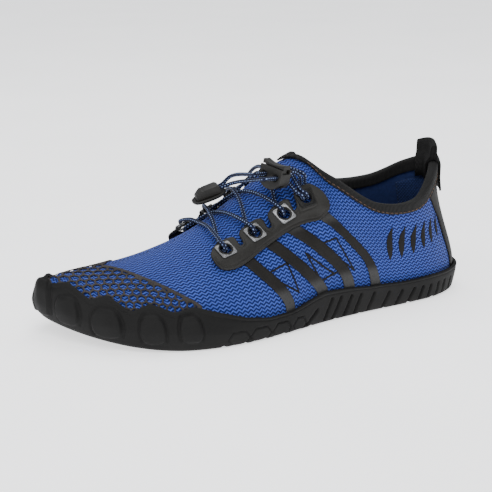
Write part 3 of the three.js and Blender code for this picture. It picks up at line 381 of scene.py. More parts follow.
def knit_paint(start):
    s, v = start.laid("cloth", 0), start.laid("cloth", 1)
    wander = start.grain(55.0) * 0.9
    zig = abs((s / 3.8 + wander * 0.12) % 1.0 - 0.5) * 2.0
    across = v / 2.35 + zig * 0.66 + wander * 0.2
    yarn = across.wave()
    stitch = (s / 0.83 + v * 0.27).wave()
    fleck = start.grain(900.0, 3.0)
    tone = yarn * (0.72 + stitch * 0.28) + (fleck - 0.5) * 0.35
    colour = tone.ramp((0.08, (0.003, 0.007, 0.050)), (0.32, (0.009, 0.022, 0.155)),
                       (0.60, (0.022, 0.052, 0.30)), (0.92, (0.070, 0.125, 0.47)))
    shade = start.grain(28.0, 3.0)
    colour = colour.tint(shade.step(0.45, 0.8) * 0.25, (0.010, 0.024, 0.14, 1.0))
    return {"Base Color": colour, "Roughness": 0.72 + stitch * 0.12,
            "Height": yarn * 0.34 + stitch * yarn * 0.12, "Strength": 0.9}


knit_finish = finish_of("zigzag_knit", knit_paint, Specular_IOR_Level=0.12, Sheen_Weight=0.08,
                        Sheen_Roughness=0.5)
grid_u, grid_h = np.meshgrid(np.arange(0, 353) / 176, np.linspace(0, 1, 57), indexing="ij")
points, faces, cloth = slab(grid_u, grid_h, 0 * grid_u - KNIT, 0 * grid_u)
upper = piece("knit_upper", points, faces, knit_finish, lays={"cloth": cloth})
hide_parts("upper_knit")

# ---- Board, footbed and lining ----
# A fibre board closes the bottom of the knit, a moulded foam footbed lies on it, and a smooth
# knitted lining is glued round the quarters with a seam on each side and a padded heel.
BOARD, INSOLE, LINING, INNER = 1.1, 3.2, 1.4, -1.9
board_low = 0.4
insole_low = board_low + BOARD + FIT
insole_top = insole_low + INSOLE


def flat_ring(u, lift, inset):
    """The line inside the knit at a height above the feather edge."""
    floor_z = going_on(FEATHER_Z, side_share(u)) + lift
    ladder = np.linspace(0, 0.5, 126)
    heights = skin(u[:, None], ladder[None, :])[..., 2]
    h = np.array([ladder[np.argmax(row >= z)] for row, z in zip(heights, floor_z)])
    spot = at(u, h, INNER)
    spot[:, :2] -= inset * unit(skin(u, 0.3) - skin(u, 0.3).mean(0))[:, :2]
    spot[:, 2] = floor_z
    return spot


def pad_between(name, rings, across, crown, finish, lays_from):
    """A flat closed piece: rings of the edge, and strips across its two faces."""
    count = len(rings[0])
    half = count // 2
    points, faces = list(np.concatenate(rings)), []
    for r in range(len(rings) - 1):
        for i in range(count):
            j = (i + 1) % count
            faces.append((r * count + i, r * count + j, (r + 1) * count + j, (r + 1) * count + i))
    for start, sign in ((0, 0.0), ((len(rings) - 1) * count, 1.0)):
        rows = []
        for i in range(half + 1):
            a, b = start + i, start + (count - i) % count
            if a == b:
                rows.append([a])
                continue
            line = [a]
            for k in range(1, across):
                f = k / across
                spot = points[a] * (1 - f) + points[b] * f
                spot = spot + np.array([0, 0, sign * crown(f, i / half)])
                line.append(len(points))
                points.append(spot)
            rows.append(line + [b])
        for low, high in zip(rows, rows[1:]):
            if len(low) == 1 or len(high) == 1:
                fan, tip = (high, low[0]) if len(low) == 1 else (low, high[0])
                faces += [(tip, p, q) for p, q in zip(fan, fan[1:])]
            else:
                faces += [(low[k], high[k], high[k + 1], low[k + 1]) for k in range(across)]
    points = np.array(points)
    lays = {lays_from: np.stack([points[:, 0], points[:, 1], points[:, 2]], -1)}
    return piece(name, points, faces, finish, lays=lays)


def board_paint(start):
    fibre = start.grain(600.0, 4.0)
    return {"Base Color": fibre.ramp((0.3, (0.010, 0.012, 0.016)), (0.7, (0.03, 0.034, 0.042))),
            "Roughness": 0.85 + fibre * 0.1, "Height": fibre * 0.2}


def footbed_paint(start):
    x, y = start.laid("bed", 0), start.laid("bed", 1)
    weave = (x / 1.2).wave() * (y / 1.2).wave()
    fleck = start.grain(500.0, 3.0)
    wear = start.grain(35.0, 3.0)
    tone = weave * 0.5 + fleck * 0.5
    colour = tone.ramp((0.2, (0.006, 0.016, 0.085)), (0.8, (0.022, 0.06, 0.26)))
    return {"Base Color": colour.tint(wear.step(0.5, 0.8) * 0.35, (0.010, 0.014, 0.045, 1.0)),
            "Roughness": 0.8 + fleck * 0.1, "Height": weave * 0.25 + fleck * 0.1}


ring_u = np.arange(0, 176) / 88
board = pad_between("fibre_board", [flat_ring(ring_u, board_low, 0.3),
                                    flat_ring(ring_u, board_low + BOARD, 0.2)], 12,
                    lambda f, g: 0.0, finish_of("fibre_board", board_paint), "bed")
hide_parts("lasting_board")
footbed = pad_between(
    "foam_footbed", [flat_ring(ring_u, insole_low, 0.5), flat_ring(ring_u, insole_low + 0.9, 0.2),
                     flat_ring(ring_u, insole_top - 0.7, 0.2), flat_ring(ring_u, insole_top, 0.6)], 16,
    lambda f, g: 0.5 * math.sin(math.pi * f) * math.sin(math.pi * min(1.0, 1.2 * g)),
    finish_of("woven_footbed", footbed_paint), "bed")
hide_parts("insole")

LINING_OUT = -(KNIT + FIT + 0.25)
LINING_IN = LINING_OUT - LINING
SEAM_SPOT, SEAM_WIDTH = 0.735, 0.9


SEAM_S = [float(laid_out(place, 0.9)[0]) for place in (SEAM_SPOT, 2 - SEAM_SPOT)]


def lining_paint(start):
    s, v = start.laid("cloth", 0), start.laid("cloth", 1)
    wale = (s / 0.7).wave()
    course = (v / 0.9).wave()
    fleck = start.grain(700.0, 3.0)
    tone = wale * 0.25 + course * 0.2 + fleck * 0.55
    behind = s.step(SEAM_S[0] - 0.3, SEAM_S[0] + 0.3) * (1.0 - s.step(SEAM_S[1] - 0.3, SEAM_S[1] + 0.3))
    colour = tone.ramp((0.2, (0.006, 0.028, 0.20)), (0.8, (0.018, 0.068, 0.38)))
    navy = tone.ramp((0.2, (0.004, 0.010, 0.045)), (0.8, (0.014, 0.03, 0.12)))
    return {"Base Color": colour.tint(behind, navy),
            "Roughness": 0.55 + fleck * 0.2, "Height": wale * 0.12 + course * 0.08}


lining_finish = finish_of("smooth_blue_lining", lining_paint, Sheen_Weight=0.1)
lining_u = np.linspace(THROAT, 2 - THROAT, 161)
ladder = np.linspace(0, 0.4, 81)
inner_z = at(lining_u[:, None], ladder[None, :], np.full((161, 81), LINING_IN))[..., 2]
need_z = going_on(FEATHER_Z, side_share(lining_u)) + insole_top + 0.6
lining_low = np.array([ladder[np.argmax(row >= z)] for row, z in zip(inner_z, need_z)])
share = np.linspace(0, 1, 33)
grid_u = np.repeat(lining_u[:, None], 33, 1)
grid_h = lining_low[:, None] + (0.985 - lining_low[:, None]) * share[None, :]
seam = np.exp(-(((laid_out(grid_u, grid_h)[0] - laid_out(np.where(grid_u < 1, SEAM_SPOT, 2 - SEAM_SPOT),
                                                         grid_h)[0]) / SEAM_WIDTH) ** 2))
points, faces, cloth = slab(grid_u, grid_h, LINING_IN + 0.35 * seam, LINING_OUT + 0 * grid_u)
lining = piece("quarter_lining_knit", points, faces, lining_finish, lays={"cloth": cloth})
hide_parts("quarter_lining")


def navy_paint(start):
    s, v = start.laid("cloth", 0), start.laid("cloth", 1)
    cell = ((s + v) / 2.2).wave() * ((s - v) / 2.2).wave()
    fleck = start.grain(700.0, 3.0)
    tone = cell * 0.5 + fleck * 0.5
    return {"Base Color": tone.ramp((0.2, (0.005, 0.011, 0.045)), (0.8, (0.018, 0.036, 0.13))),
            "Roughness": 0.72 + fleck * 0.15, "Height": cell * 0.3}


PAD_FROM, PAD_TO, PAD_LOW, PAD_HIGH, PAD_PUFF = 39 / COLUMNS, 49 / COLUMNS, 0.42, 0.86, 0.9
grid_u, grid_h = np.meshgrid(np.linspace(PAD_FROM, PAD_TO, 49), np.linspace(PAD_LOW, PAD_HIGH, 37), indexing="ij")
rim_share = np.minimum(np.minimum(grid_u - PAD_FROM, PAD_TO - grid_u) / 0.035,
                       np.minimum(grid_h - PAD_LOW, PAD_HIGH - grid_h) / 0.10)
puff = np.sqrt(np.clip(rim_share, 0, 1)) * PAD_PUFF
points, faces, cloth = slab(grid_u, grid_h, LINING_IN - FIT - 0.35 - puff, LINING_IN - FIT + 0 * grid_u)
heel_pad = piece("heel_pad", points, faces, finish_of("navy_mesh_lining", navy_paint, Sheen_Weight=0.08),
                 lays={"cloth": cloth})
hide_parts("heel_lining_pad")

# ---- Welded films ----
# Thin matte films are cut to shape and heat-welded on the knit: an open honeycomb over the
# toe, four bars from the sole to the lacing plate on each side, and a heel counter strip.
FILM, FILM_LIFT = 0.5, 0.5


def follow(table, t):
    return np.interp(t, [row[0] for row in table], [row[1] for row in table])


EDGE = [[[0, 0.62], [0.0227, 0.49], [0.0682, 0.55], [0.1136, 0.36], [0.148, 0.42], [0.182, 0.27],
         [0.216, 0.34], [0.25, 0.26], [0.282, 0.29], [0.32, 0.227], [0.37, 0.151], [0.416, 0.109],
         [0.466, 0.101], [0.511, 0.118], [0.539, 0.126], [0.594, 0.118], [0.648, 0.109],
         [0.717, 0.143], [0.799, 0.185], [0.877, 0.193], [1, 0.2]],
        [[0, 0.62], [0.06, 0.55], [0.12, 0.4], [0.2, 0.29], [0.3, 0.2], [0.37, 0.15], [0.45, 0.12],
         [0.54, 0.126], [0.648, 0.12], [0.75, 0.15], [0.877, 0.193], [1, 0.2]]]


def by_side(pair, u):
    return np.where(np.asarray(u) % 2 <= 1, follow(pair[0], side_share(u)), follow(pair[1], side_share(u)))


def cut_film(name, u_range, h_range, pitch, shape, finish, slot, low=FILM_LIFT, thick=FILM,
             round_to=0.22, relief=None, body="shoe", hides=()):
    """A layer over a patch of the last, cut to shape(u, h), which is negative inside, in mm."""
    span_u = laid_out(u_range[1], 0.5)[0] - laid_out(u_range[0], 0.5)[0]
    middle_u = 0.5 * (u_range[0] + u_range[1])
    span_h = laid_out(middle_u, h_range[1])[1] - laid_out(middle_u, h_range[0])[1]
    u, h = np.meshgrid(np.linspace(*u_range, max(3, int(span_u / pitch) // 2 * 2 + 1)),
                       np.linspace(*h_range, max(3, int(span_h / pitch) + 1)), indexing="ij")
    middle = lambda g: 0.25 * (g[1:, 1:] + g[:-1, 1:] + g[1:, :-1] + g[:-1, :-1])
    keep = shape(middle(u), middle(h)) < 0
    inside = np.zeros(u.shape, int)
    for a in (slice(1, None), slice(None, -1)):
        for b in (slice(1, None), slice(None, -1)):
            inside[a, b] += keep
    edge = (inside > 0) & (inside < 4)
    edge[:, -1] &= ~((h[:, -1] > 1 - 1e-6) & (side_share(u[:, -1]) <= THROAT))
    eu, eh = u[edge], h[edge]
    for _ in range(3):
        e = 1e-4
        f = shape(eu, eh)
        fu = (shape(eu + e, eh) - shape(eu - e, eh)) / (2 * e)
        fh = (shape(eu, eh + e) - shape(eu, eh - e)) / (2 * e)
        along, up = along_up(eu, eh)
        aa, ab, bb = (along * along).sum(-1), (along * up).sum(-1), (up * up).sum(-1)
        det = np.maximum(aa * bb - ab * ab, 1e-6)
        gu, gh = (bb * fu - ab * fh) / det, (aa * fh - ab * fu) / det
        scale = np.clip(f, -pitch, pitch) / np.maximum(fu * gu + fh * gh, 1e-3)
        eu, eh = eu - 0.8 * scale * gu, np.minimum(eh - 0.8 * scale * gh, 1.0)
    u[edge], h[edge] = eu, eh
    depth = np.where(edge, 0.0, np.maximum(-shape(u, h), 0))
    low_n = low(u, h) if callable(low) else low + 0 * u
    rise = thick - round_to * (1 - np.sqrt(np.clip(depth / (1.2 * round_to), 0, 1)))
    if relief is not None:
        rise = rise + np.where(edge, 0, relief(u, h, depth))
    points, faces, cloth = slab(u, h, low_n, low_n + rise, keep)
    made = piece(name, points, faces, finish, body, {"cloth": cloth})
    for node in hides:
        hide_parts(node)
    return made


def speckled(fine, coarse, dark, light, rough, spread, relief, share=0.4, top=0.7):
    """The look of moulded plastic or rubber: fine specks over slow clouds, from dark to light."""
    def paint(start):
        fleck, cloud = start.grain(fine, 3.0), start.grain(coarse, 3.0)
        tone = fleck * share + cloud * (1 - share)
        return {"Base Color": tone.ramp((0.3, dark), (top, light)), "Roughness": rough + fleck * spread,
                "Height": fleck * relief}
    return paint


def bar_paint(start):
    fleck = start.grain(1400.0, 3.0)
    shade = start.grain(60.0, 3.0)
    v = start.laid("cloth", 1)
    ends = (1.0 - v.step(BAR_LOW, BAR_LOW + 6.0)).most(v.step(BAR_HIGH - 6.0, BAR_HIGH))
    tone = fleck * 0.5 + shade * 0.5
    colour = tone.ramp((0.3, (0.006, 0.0055, 0.005)), (0.75, (0.016, 0.0145, 0.013)))
    grey = tone.ramp((0.3, (0.030, 0.030, 0.030)), (0.75, (0.062, 0.061, 0.060)))
    return {"Base Color": colour.tint(ends * 0.8, grey), "Roughness": 0.55 + fleck * 0.2 - ends * 0.15,
            "Height": fleck * 0.06}


BAR_LOW, BAR_HIGH = (float(laid_out(0.53, h)[1]) for h in (0.17, 0.51))
film_finish = finish_of("matte_black_film", speckled(
    1400.0, 60.0, (0.004, 0.0038, 0.0035), (0.012, 0.011, 0.010), 0.52, 0.22, 0.06, 0.5, 0.75))
bar_finish = finish_of("brown_black_bar_film", bar_paint)
toe_film_finish = finish_of("taupe_toe_film", speckled(
    1400.0, 45.0, (0.018, 0.0155, 0.0145), (0.048, 0.041, 0.038), 0.5, 0.2, 0.05))

TOE_EDGE = [[[0, 1.2], [0.132, 1.2], [0.14, 1.0], [0.151, 0.958], [0.192, 0.79], [0.219, 0.664],
             [0.247, 0.538], [0.269, 0.437], [0.292, 0.336], [0.306, 0.27]],
            [[0, 1.2], [0.132, 1.2], [0.14, 1.0], [0.16, 0.93], [0.2, 0.76], [0.23, 0.6], [0.26, 0.46],
             [0.306, 0.26]]]
CELL, STRUT, BORDER = 5.6, 1.25, 2.4


def unrolled(u, h):
    """The toe rolled out flat from the line over the vamp."""
    side = np.where(np.asarray(u) % 2 <= 1, -1.0, 1.0)
    fan = np.radians(spline(FAN, side_share(u), -FAN[1], 360 - FAN[-2]))
    top = skin(u, 1.0)
    reach = laid_out(u, 1.0)[1] - laid_out(u, h)[1]
    return top[..., 0] - np.cos(fan) * reach, top[..., 1] + side * np.sin(fan) * reach


def honeycomb(x, y, cell):
    """Distance to the middle of the nearest wall of a honeycomb, in mm."""
    row = cell * math.sqrt(3)
    found = None
    for dx, dy in ((0.0, 0.0), (0.5 * cell, 0.5 * row)):
        px = x - dx - np.round((x - dx) / cell) * cell
        py = y - dy - np.round((y - dy) / row) * row
        inner = np.maximum(np.abs(px), np.abs(0.5 * np.abs(px) + 0.8660254 * np.abs(py)))
        far = px * px + py * py
        if found is None:
            found, nearest = inner, far
        else:
            found = np.where(far < nearest, inner, found)
    return 0.5 * cell - found


def toe_shape(u, h):
    reach = laid_out(u, 0.9)[1] - laid_out(u, 0.5)[1]
    rate = reach / 0.4
    steep = 0.72
    outline = np.maximum((h - by_side(TOE_EDGE, u)) * rate * steep, (by_side(EDGE, u) - 0.07 - h) * rate)
    outline = np.maximum(outline, (side_share(u) - 0.298) * 300)
    x, y = unrolled(u, h)
    turn = math.radians(24)
    walls = honeycomb(x * math.cos(turn) + y * math.sin(turn), y * math.cos(turn) - x * math.sin(turn), CELL)
    return np.maximum(outline, np.minimum(walls - 0.5 * STRUT, -outline - BORDER))


cut_film("toe_honeycomb", (-0.3, 0.3), (0.12, 1.0), 0.42, toe_shape, toe_film_finish, "film",
         hides=["toe_film"])


def outline_of(places, rounds=2):
    """A closed outline in laid-out millimetres from (u, h) corners, with its corners rounded."""
    s, v = laid_out([p[0] for p in places], [p[1] for p in places])
    line = np.stack([s, v], -1)
    for _ in range(rounds):
        ahead = np.roll(line, -1, 0)
        line = np.stack([0.8 * line + 0.2 * ahead, 0.2 * line + 0.8 * ahead], 1).reshape(-1, 2)
    return line


def inside_outline(line, s, v):
    """Signed distance to a closed outline, negative inside."""
    spot = np.stack([s, v], -1)[..., None, :]
    a, b = line, np.roll(line, -1, 0)
    edge = b - a
    f = np.clip(((spot - a) * edge).sum(-1) / np.maximum((edge * edge).sum(-1), 1e-9), 0, 1)
    far = np.linalg.norm(spot - a - f[..., None] * edge, axis=-1).min(-1)
    slope = edge[:, 0] / np.where(edge[:, 1] == 0, 1e-9, edge[:, 1])
    crossing = ((a[:, 1] > v[..., None]) != (b[:, 1] > v[..., None])) & (
        s[..., None] < slope * (v[..., None] - a[:, 1]) + a[:, 0])
    return np.where(crossing.sum(-1) % 2 == 1, -far, far)


def band_along(path, width, rounds=3):
    """Signed distance to a band of the given width along a line of (u, h) places."""
    s, v = laid_out([p[0] for p in path], [p[1] for p in path])
    line = np.stack([s, v], -1)
    for _ in range(rounds):
        inner = np.stack([0.75 * line[:-1] + 0.25 * line[1:], 0.25 * line[:-1] + 0.75 * line[1:]], 1)
        line = np.concatenate([line[:1], inner.reshape(-1, 2), line[-1:]])

    def shape(u, h):
        sp, vp = laid_out(u, h)
        spot = np.stack([sp, vp], -1)[..., None, :]
        a, edge = line[:-1], line[1:] - line[:-1]
        f = ((spot - a) * edge).sum(-1) / np.maximum((edge * edge).sum(-1), 1e-9)
        near = np.linalg.norm(spot - a - np.clip(f, 0, 1)[..., None] * edge, axis=-1).min(-1)
        before = (spot[..., 0, :] - line[0]) @ unit(line[0] - line[1])
        after = (spot[..., 0, :] - line[-1]) @ unit(line[-1] - line[-2])
        return np.maximum(near - 0.5 * width, np.maximum(before, after) - 0.05)
    return shape


STRIPE_WIDTH = 7.5
STRIPES = [[(0.402, 0.53), (0.425, 0.387), (0.443, 0.3), (0.466, 0.16), (0.466, 0.07)],
           [(0.452, 0.55), (0.484, 0.378), (0.507, 0.277), (0.539, 0.151), (0.541, 0.09)],
           [(0.492, 0.55), (0.53, 0.403), (0.566, 0.311), (0.598, 0.21), (0.603, 0.08)],
           [(0.562, 0.545), (0.603, 0.521), (0.635, 0.445), (0.658, 0.319), (0.662, 0.08)]]
SIDES = (("lat", 1.0, 0.0), ("med", -1.0, 2.0))
for side, sign, offset in SIDES:
    for number, path in enumerate(STRIPES, 1):
        run = [(offset + sign * t, h) for t, h in path]
        us = sorted(p[0] for p in run)
        cut_film(f"side_bar_{side}_{number}", (us[0] - 0.02, us[-1] + 0.02), (0.05, 0.57), 0.6,
                 band_along(run, STRIPE_WIDTH), bar_finish, "film", hides=[f"stripe_{side}_{number}"])

# Thin printed lines zigzag over the knit between the toe film and the lacing plate.
LINE_WIDTH, PRINT, PRINT_PITCH = 1.15, 0.22, 0.36
LINES = [[(0.441, 0.37), (0.475, 0.373), (0.488, 0.185), (0.446, 0.315)],
         [(0.539, 0.186), (0.513, 0.363), (0.567, 0.215)],
         [(0.539, 0.186), (0.576, 0.219)],
         [(0.551, 0.377), (0.586, 0.43), (0.617, 0.232), (0.562, 0.341)]]


def thin_line(path, width):
    """Signed distance to straight strokes joined at sharp corners, in mm."""
    s, v = laid_out([p[0] for p in path], [p[1] for p in path])
    line = np.stack([s, v], -1)

    def shape(u, h):
        sp, vp = laid_out(u, h)
        spot = np.stack([sp, vp], -1)[..., None, :]
        a, edge = line[:-1], line[1:] - line[:-1]
        f = np.clip(((spot - a) * edge).sum(-1) / (edge * edge).sum(-1), 0, 1)
        return np.linalg.norm(spot - a - f[..., None] * edge, axis=-1).min(-1) - 0.5 * width
    return shape


for side, sign, offset in SIDES:
    for number, path in enumerate(LINES, 1):
        run = [(offset + sign * t, h) for t, h in path]
        us, hs = sorted(p[0] for p in run), sorted(p[1] for p in run)
        cut_film(f"printed_line_{side}_{number}", (us[0] - 0.01, us[-1] + 0.01),
                 (hs[0] - 0.02, hs[-1] + 0.02), PRINT_PITCH, thin_line(run, LINE_WIDTH),
                 film_finish, "film", low=0.1, thick=PRINT, round_to=0.1)

# Six slanted, tapering strokes are printed on the knit beside the heel, shorter to the back.
STROKES = [(0.708, 0.37, 0.752, 0.80, 4.8), (0.740, 0.42, 0.781, 0.80, 4.4), (0.772, 0.46, 0.809, 0.79, 4.0),
           (0.804, 0.50, 0.836, 0.77, 3.6), (0.834, 0.52, 0.861, 0.74, 3.1), (0.863, 0.54, 0.885, 0.71, 2.6)]


def tapered(a, b, width):
    """Signed distance to a stroke that is widest at 40 % of its length and pointed at its ends, in mm."""
    (s0, s1), (v0, v1) = laid_out([a[0], b[0]], [a[1], b[1]])

    def shape(u, h):
        sp, vp = laid_out(u, h)
        ds, dv = s1 - s0, v1 - v0
        length = math.hypot(ds, dv)
        f = ((sp - s0) * ds + (vp - v0) * dv) / length ** 2
        aside = ((sp - s0) * dv - (vp - v0) * ds) / length + 1.1 * np.sin(np.pi * np.clip(f, 0, 1))
        swell = np.sin(np.pi * np.clip(f, 0.001, 0.999) ** 0.8)
        return np.maximum(np.abs(aside) - 0.5 * width * swell, np.maximum(-f, f - 1) * length)
    return shape


for side, sign, offset in SIDES:
    for number, (t0, h0, t1, h1, width) in enumerate(STROKES, 1):
        a, b = (offset + sign * t0, h0), (offset + sign * t1, h1)
        us = sorted((a[0], b[0]))
        cut_film(f"heel_stroke_{side}_{number}", (us[0] - 0.03, us[-1] + 0.03), (h0 - 0.03, h1 + 0.03),
                 PRINT_PITCH, tapered(a, b, width), film_finish, "film", low=0.1, thick=PRINT, round_to=0.1)

HEEL_EDGE = [[0.15, 0.885], [0.205, 0.885], [0.5, 0.886], [0.67, 0.89], [0.84, 0.878], [0.9, 0.87],
             [0.93, 0.86]]


def counter_shape(u, h):
    rate = 92.0
    half = 1 - follow(HEEL_EDGE, h)
    return np.maximum((np.abs(u - 1) - half) * rate * 2.0, np.maximum(h - 0.905, 0.15 - h) * rate)


cut_film("heel_counter_strip", (0.85, 1.15), (0.14, 0.92), 0.8, counter_shape, film_finish, "binding",
         hides=["heel_patch"])

# ---- Collar binding and pull tab ----
# Ribbed stretch tape is folded over the rim of knit and lining and sewn through with a brown
# thread; a loop of flat webbing is caught under it at the heel.
BINDING, WEB = 1.1, 1.4
LINING_SEAT = LINING_IN - FIT - 0.1
throat_column = round(THROAT * COLUMNS)


def tape_sections(k):
    """The 13 corners of the tape's cross-section at column places k, shape (n, 13, 3)."""
    turn = np.minimum(k, 2 * COLUMNS - k) - throat_column
    shift = np.interp(turn, [0, 1, 2, 3], [-0.9, -0.35, -0.1, 0])
    low_h = np.interp(turn, [0, 1, 2, 3, 4], [1, 0.93, 0.92, 0.92, 0.925])
    slack = 0.2 * np.maximum(0, 6 - turn)
    inner, outer = LINING_SEAT - slack, FILM_LIFT + 0.8 * slack
    rim = k / COLUMNS
    low_u = np.where(k <= COLUMNS, k + shift, k - shift) / COLUMNS
    away = unit(skin(rim, 1.0) - skin(low_u, low_h))
    over = lambda n, d: at(rim, 1.0, n + 0 * k) + away * (d + 0 * k)[..., None]
    return np.stack([
        at(low_u, low_h, outer), at(low_u, low_h, outer + BINDING),
        at((rim + low_u) / 2, (1 + low_h) / 2, outer + BINDING + 0.1), at(rim, 1.0, outer + BINDING),
        over(0.9, BINDING + 0.5 + slack), over(-1.5, BINDING + 0.9 + slack),
        over(-3.4, BINDING + 0.5 + slack), at(rim, 1.0, inner - BINDING),
        at(low_u, low_h, inner - BINDING), at(low_u, low_h, inner),
        over(inner, 0.1 + 0 * k), over(inner, 0.45 + slack), over(outer, 0.45 + slack)], -2)


def tape_paint(start):
    run, turn = start.laid("tape", 0), start.laid("tape", 1)
    rib = (run / 1.05).wave()
    course = (turn / 0.8).wave()
    fleck = start.grain(1100.0, 3.0)
    tone = rib * 0.4 + course * 0.1 + fleck * 0.5
    return {"Base Color": tone.ramp((0.25, (0.0015, 0.0015, 0.0018)), (0.85, (0.015, 0.0145, 0.014))),
            "Roughness": 0.74 + fleck * 0.2, "Height": rib * 0.30 + course * 0.06}


tape_finish = finish_of("ribbed_black_tape", tape_paint, Sheen_Weight=0.05)
TAPE_STEPS = 5
tape_columns = (2 * COLUMNS - 2 * throat_column) * TAPE_STEPS
k = np.linspace(throat_column, 2 * COLUMNS - throat_column, tape_columns + 1)[:-1]
corners = tape_sections(k)
fine = []
for i in range(13):
    a, b, c, d = corners[:, i - 1], corners[:, i], corners[:, (i + 1) % 13], corners[:, (i + 2) % 13]
    fine.append(b)
    if 0 < i < 9:
        for f in (0.25, 0.5, 0.75):
            bend = 0.5 * (2 * b + (c - a) * f + (2 * a - 5 * b + 4 * c - d) * f ** 2
                          + (3 * b - a - 3 * c + d) * f ** 3)
            fine.append(bend * 0.6 + (b * (1 - f) + c * f) * 0.4)
fine = np.stack(fine, 1)
run = np.concatenate([[0], np.cumsum(np.linalg.norm(np.diff(fine[:, 12], axis=0), axis=1))])
turned = np.cumsum(np.linalg.norm(np.diff(fine, axis=1), axis=2), axis=1)
turned = np.concatenate([np.zeros((len(k), 1)), turned], 1)
n_k, n_c = fine.shape[:2]
faces = [(i * n_c + j, i * n_c + (j + 1) % n_c, (i + 1) % n_k * n_c + (j + 1) % n_c, (i + 1) % n_k * n_c + j)
         for i in range(n_k) for j in range(n_c)]
lay = np.stack([np.repeat(run[:, None], n_c, 1), turned, 0 * turned], -1).reshape(-1, 3)
binding = piece("collar_tape", fine.reshape(-1, 3), faces, tape_finish, lays={"tape": lay})
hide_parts("collar_binding")


def thread_paint(start):
    ply = start.grain(2500.0, 2.0)
    return {"Base Color": ply.ramp((0.3, (0.055, 0.032, 0.022)), (0.7, (0.16, 0.10, 0.07))),
            "Roughness": 0.6 + ply * 0.2, "Height": ply * 0.05}


thread_finish = finish_of("brown_thread", thread_paint)
STITCH, STITCH_GAP, THREAD = 2.4, 1.1, 0.26


def stitch_row(name, line, up, finish, length=STITCH, gap=STITCH_GAP, width=THREAD):
    """Separate stitches, each a bean of thread, along a line with its outward direction."""
    along = np.concatenate([[0], np.cumsum(np.linalg.norm(np.diff(line, axis=0), axis=1))])
    points, faces = [], []
    ring, bean = 6, ((0.0, 0.25), (0.12, 0.8), (0.35, 1.0), (0.65, 1.0), (0.88, 0.8), (1.0, 0.25))
    for start in np.arange(gap, along[-1] - length, length + gap):
        base = len(points)
        for f, wide in bean:
            spot = np.array([np.interp(start + f * length, along, line[:, c]) for c in range(3)])
            out = unit(np.array([np.interp(start + f * length, along, up[:, c]) for c in range(3)]))
            further = start + f * length + 0.3
            ahead = np.array([np.interp(further, along, line[:, c]) for c in range(3)]) - spot
            across = unit(np.cross(out, ahead))
            for r in range(ring):
                a = math.tau * r / ring
                points.append(spot + across * math.cos(a) * width * wide + out * (math.sin(a) * width * wide))
        for m in range(len(bean) - 1):
            for r in range(ring):
                q = (r + 1) % ring
                faces.append((base + m * ring + r, base + m * ring + q, base + (m + 1) * ring + q,
                              base + (m + 1) * ring + r))
        faces.append(tuple(base + r for r in range(ring)))
        faces.append(tuple(base + (len(bean) - 1) * ring + r for r in range(ring)))
    made = piece(name, points, faces, finish)
    return made


tape_line = corners[:, 1] * 0.62 + corners[:, 2] * 0.38
outward = unit(corners[:, 2] - corners[:, 9])
keep = (k > throat_column + 1.2) & (k < 2 * COLUMNS - throat_column - 1.2)
stitch_row("collar_stitches", (tape_line + outward * 0.12)[keep], outward[keep], thread_finish)

TAB_OUT = FILM_LIFT + BINDING + 0.6
TAB_IN = LINING_SEAT - BINDING - 0.7
CROWN = BINDING + 0.9
TAB_PROFILE = [(TAB_OUT + WEB, 0.8, 0), (TAB_OUT + WEB, 0.9, 0), (TAB_OUT + WEB, 1, 0),
               (TAB_OUT + 0.4, 1, 2.5), (0.9, 1, 5), (0.5, 1, 8), (0.4, 1, 11), (-0.5, 1, 12.7),
               (-1.7, 1, 13.1), (-2.9, 1, 12.7),
               (-3.8, 1, 11), (-4.1, 1, 8), (-4.3, 1, 5), (TAB_IN - 0.5, 1, 2.5), (TAB_IN - WEB, 1, 0),
               (TAB_IN - WEB, 0.94, 0), (TAB_IN - WEB, 0.88, 0), (TAB_IN, 0.88, 0), (TAB_IN, 0.94, 0),
               (TAB_IN, 1, 0.5), (-3.2, 1, CROWN + 1.2), (-1.7, 1, CROWN + 1.6), (0, 1, CROWN + 1.2),
               (TAB_OUT, 1, 0.8), (TAB_OUT, 0.9, 0), (TAB_OUT, 0.8, 0)]
WEB_RUNGS = [(0, 25), (1, 24), (2, 23), (3, 22), (4, 22), (5, 22), (6, 22), (7, 22), (8, 21), (9, 20),
             (10, 20), (11, 20), (12, 20), (13, 20), (14, 19), (15, 18), (16, 17)]
WEB_COLUMNS, WEB_SPAN, WEB_HALF, HEEL_DROP = 25, (0.947, 1.053), 11, 34


def webbing_paint(start):
    across, along = start.laid("web", 0), start.laid("web", 1)
    twill = ((along + abs((across / 2.6) % 1.0 - 0.5) * 2.4) / 1.15).wave()
    cord_line = (across / 1.3).wave()
    fleck = start.grain(1500.0, 3.0)
    tone = twill * 0.35 + cord_line * 0.15 + fleck * 0.5
    return {"Base Color": tone.ramp((0.25, (0.002, 0.002, 0.0022)), (0.85, (0.017, 0.0165, 0.016))),
            "Roughness": 0.66 + fleck * 0.2, "Height": twill * 0.22 + cord_line * 0.10}


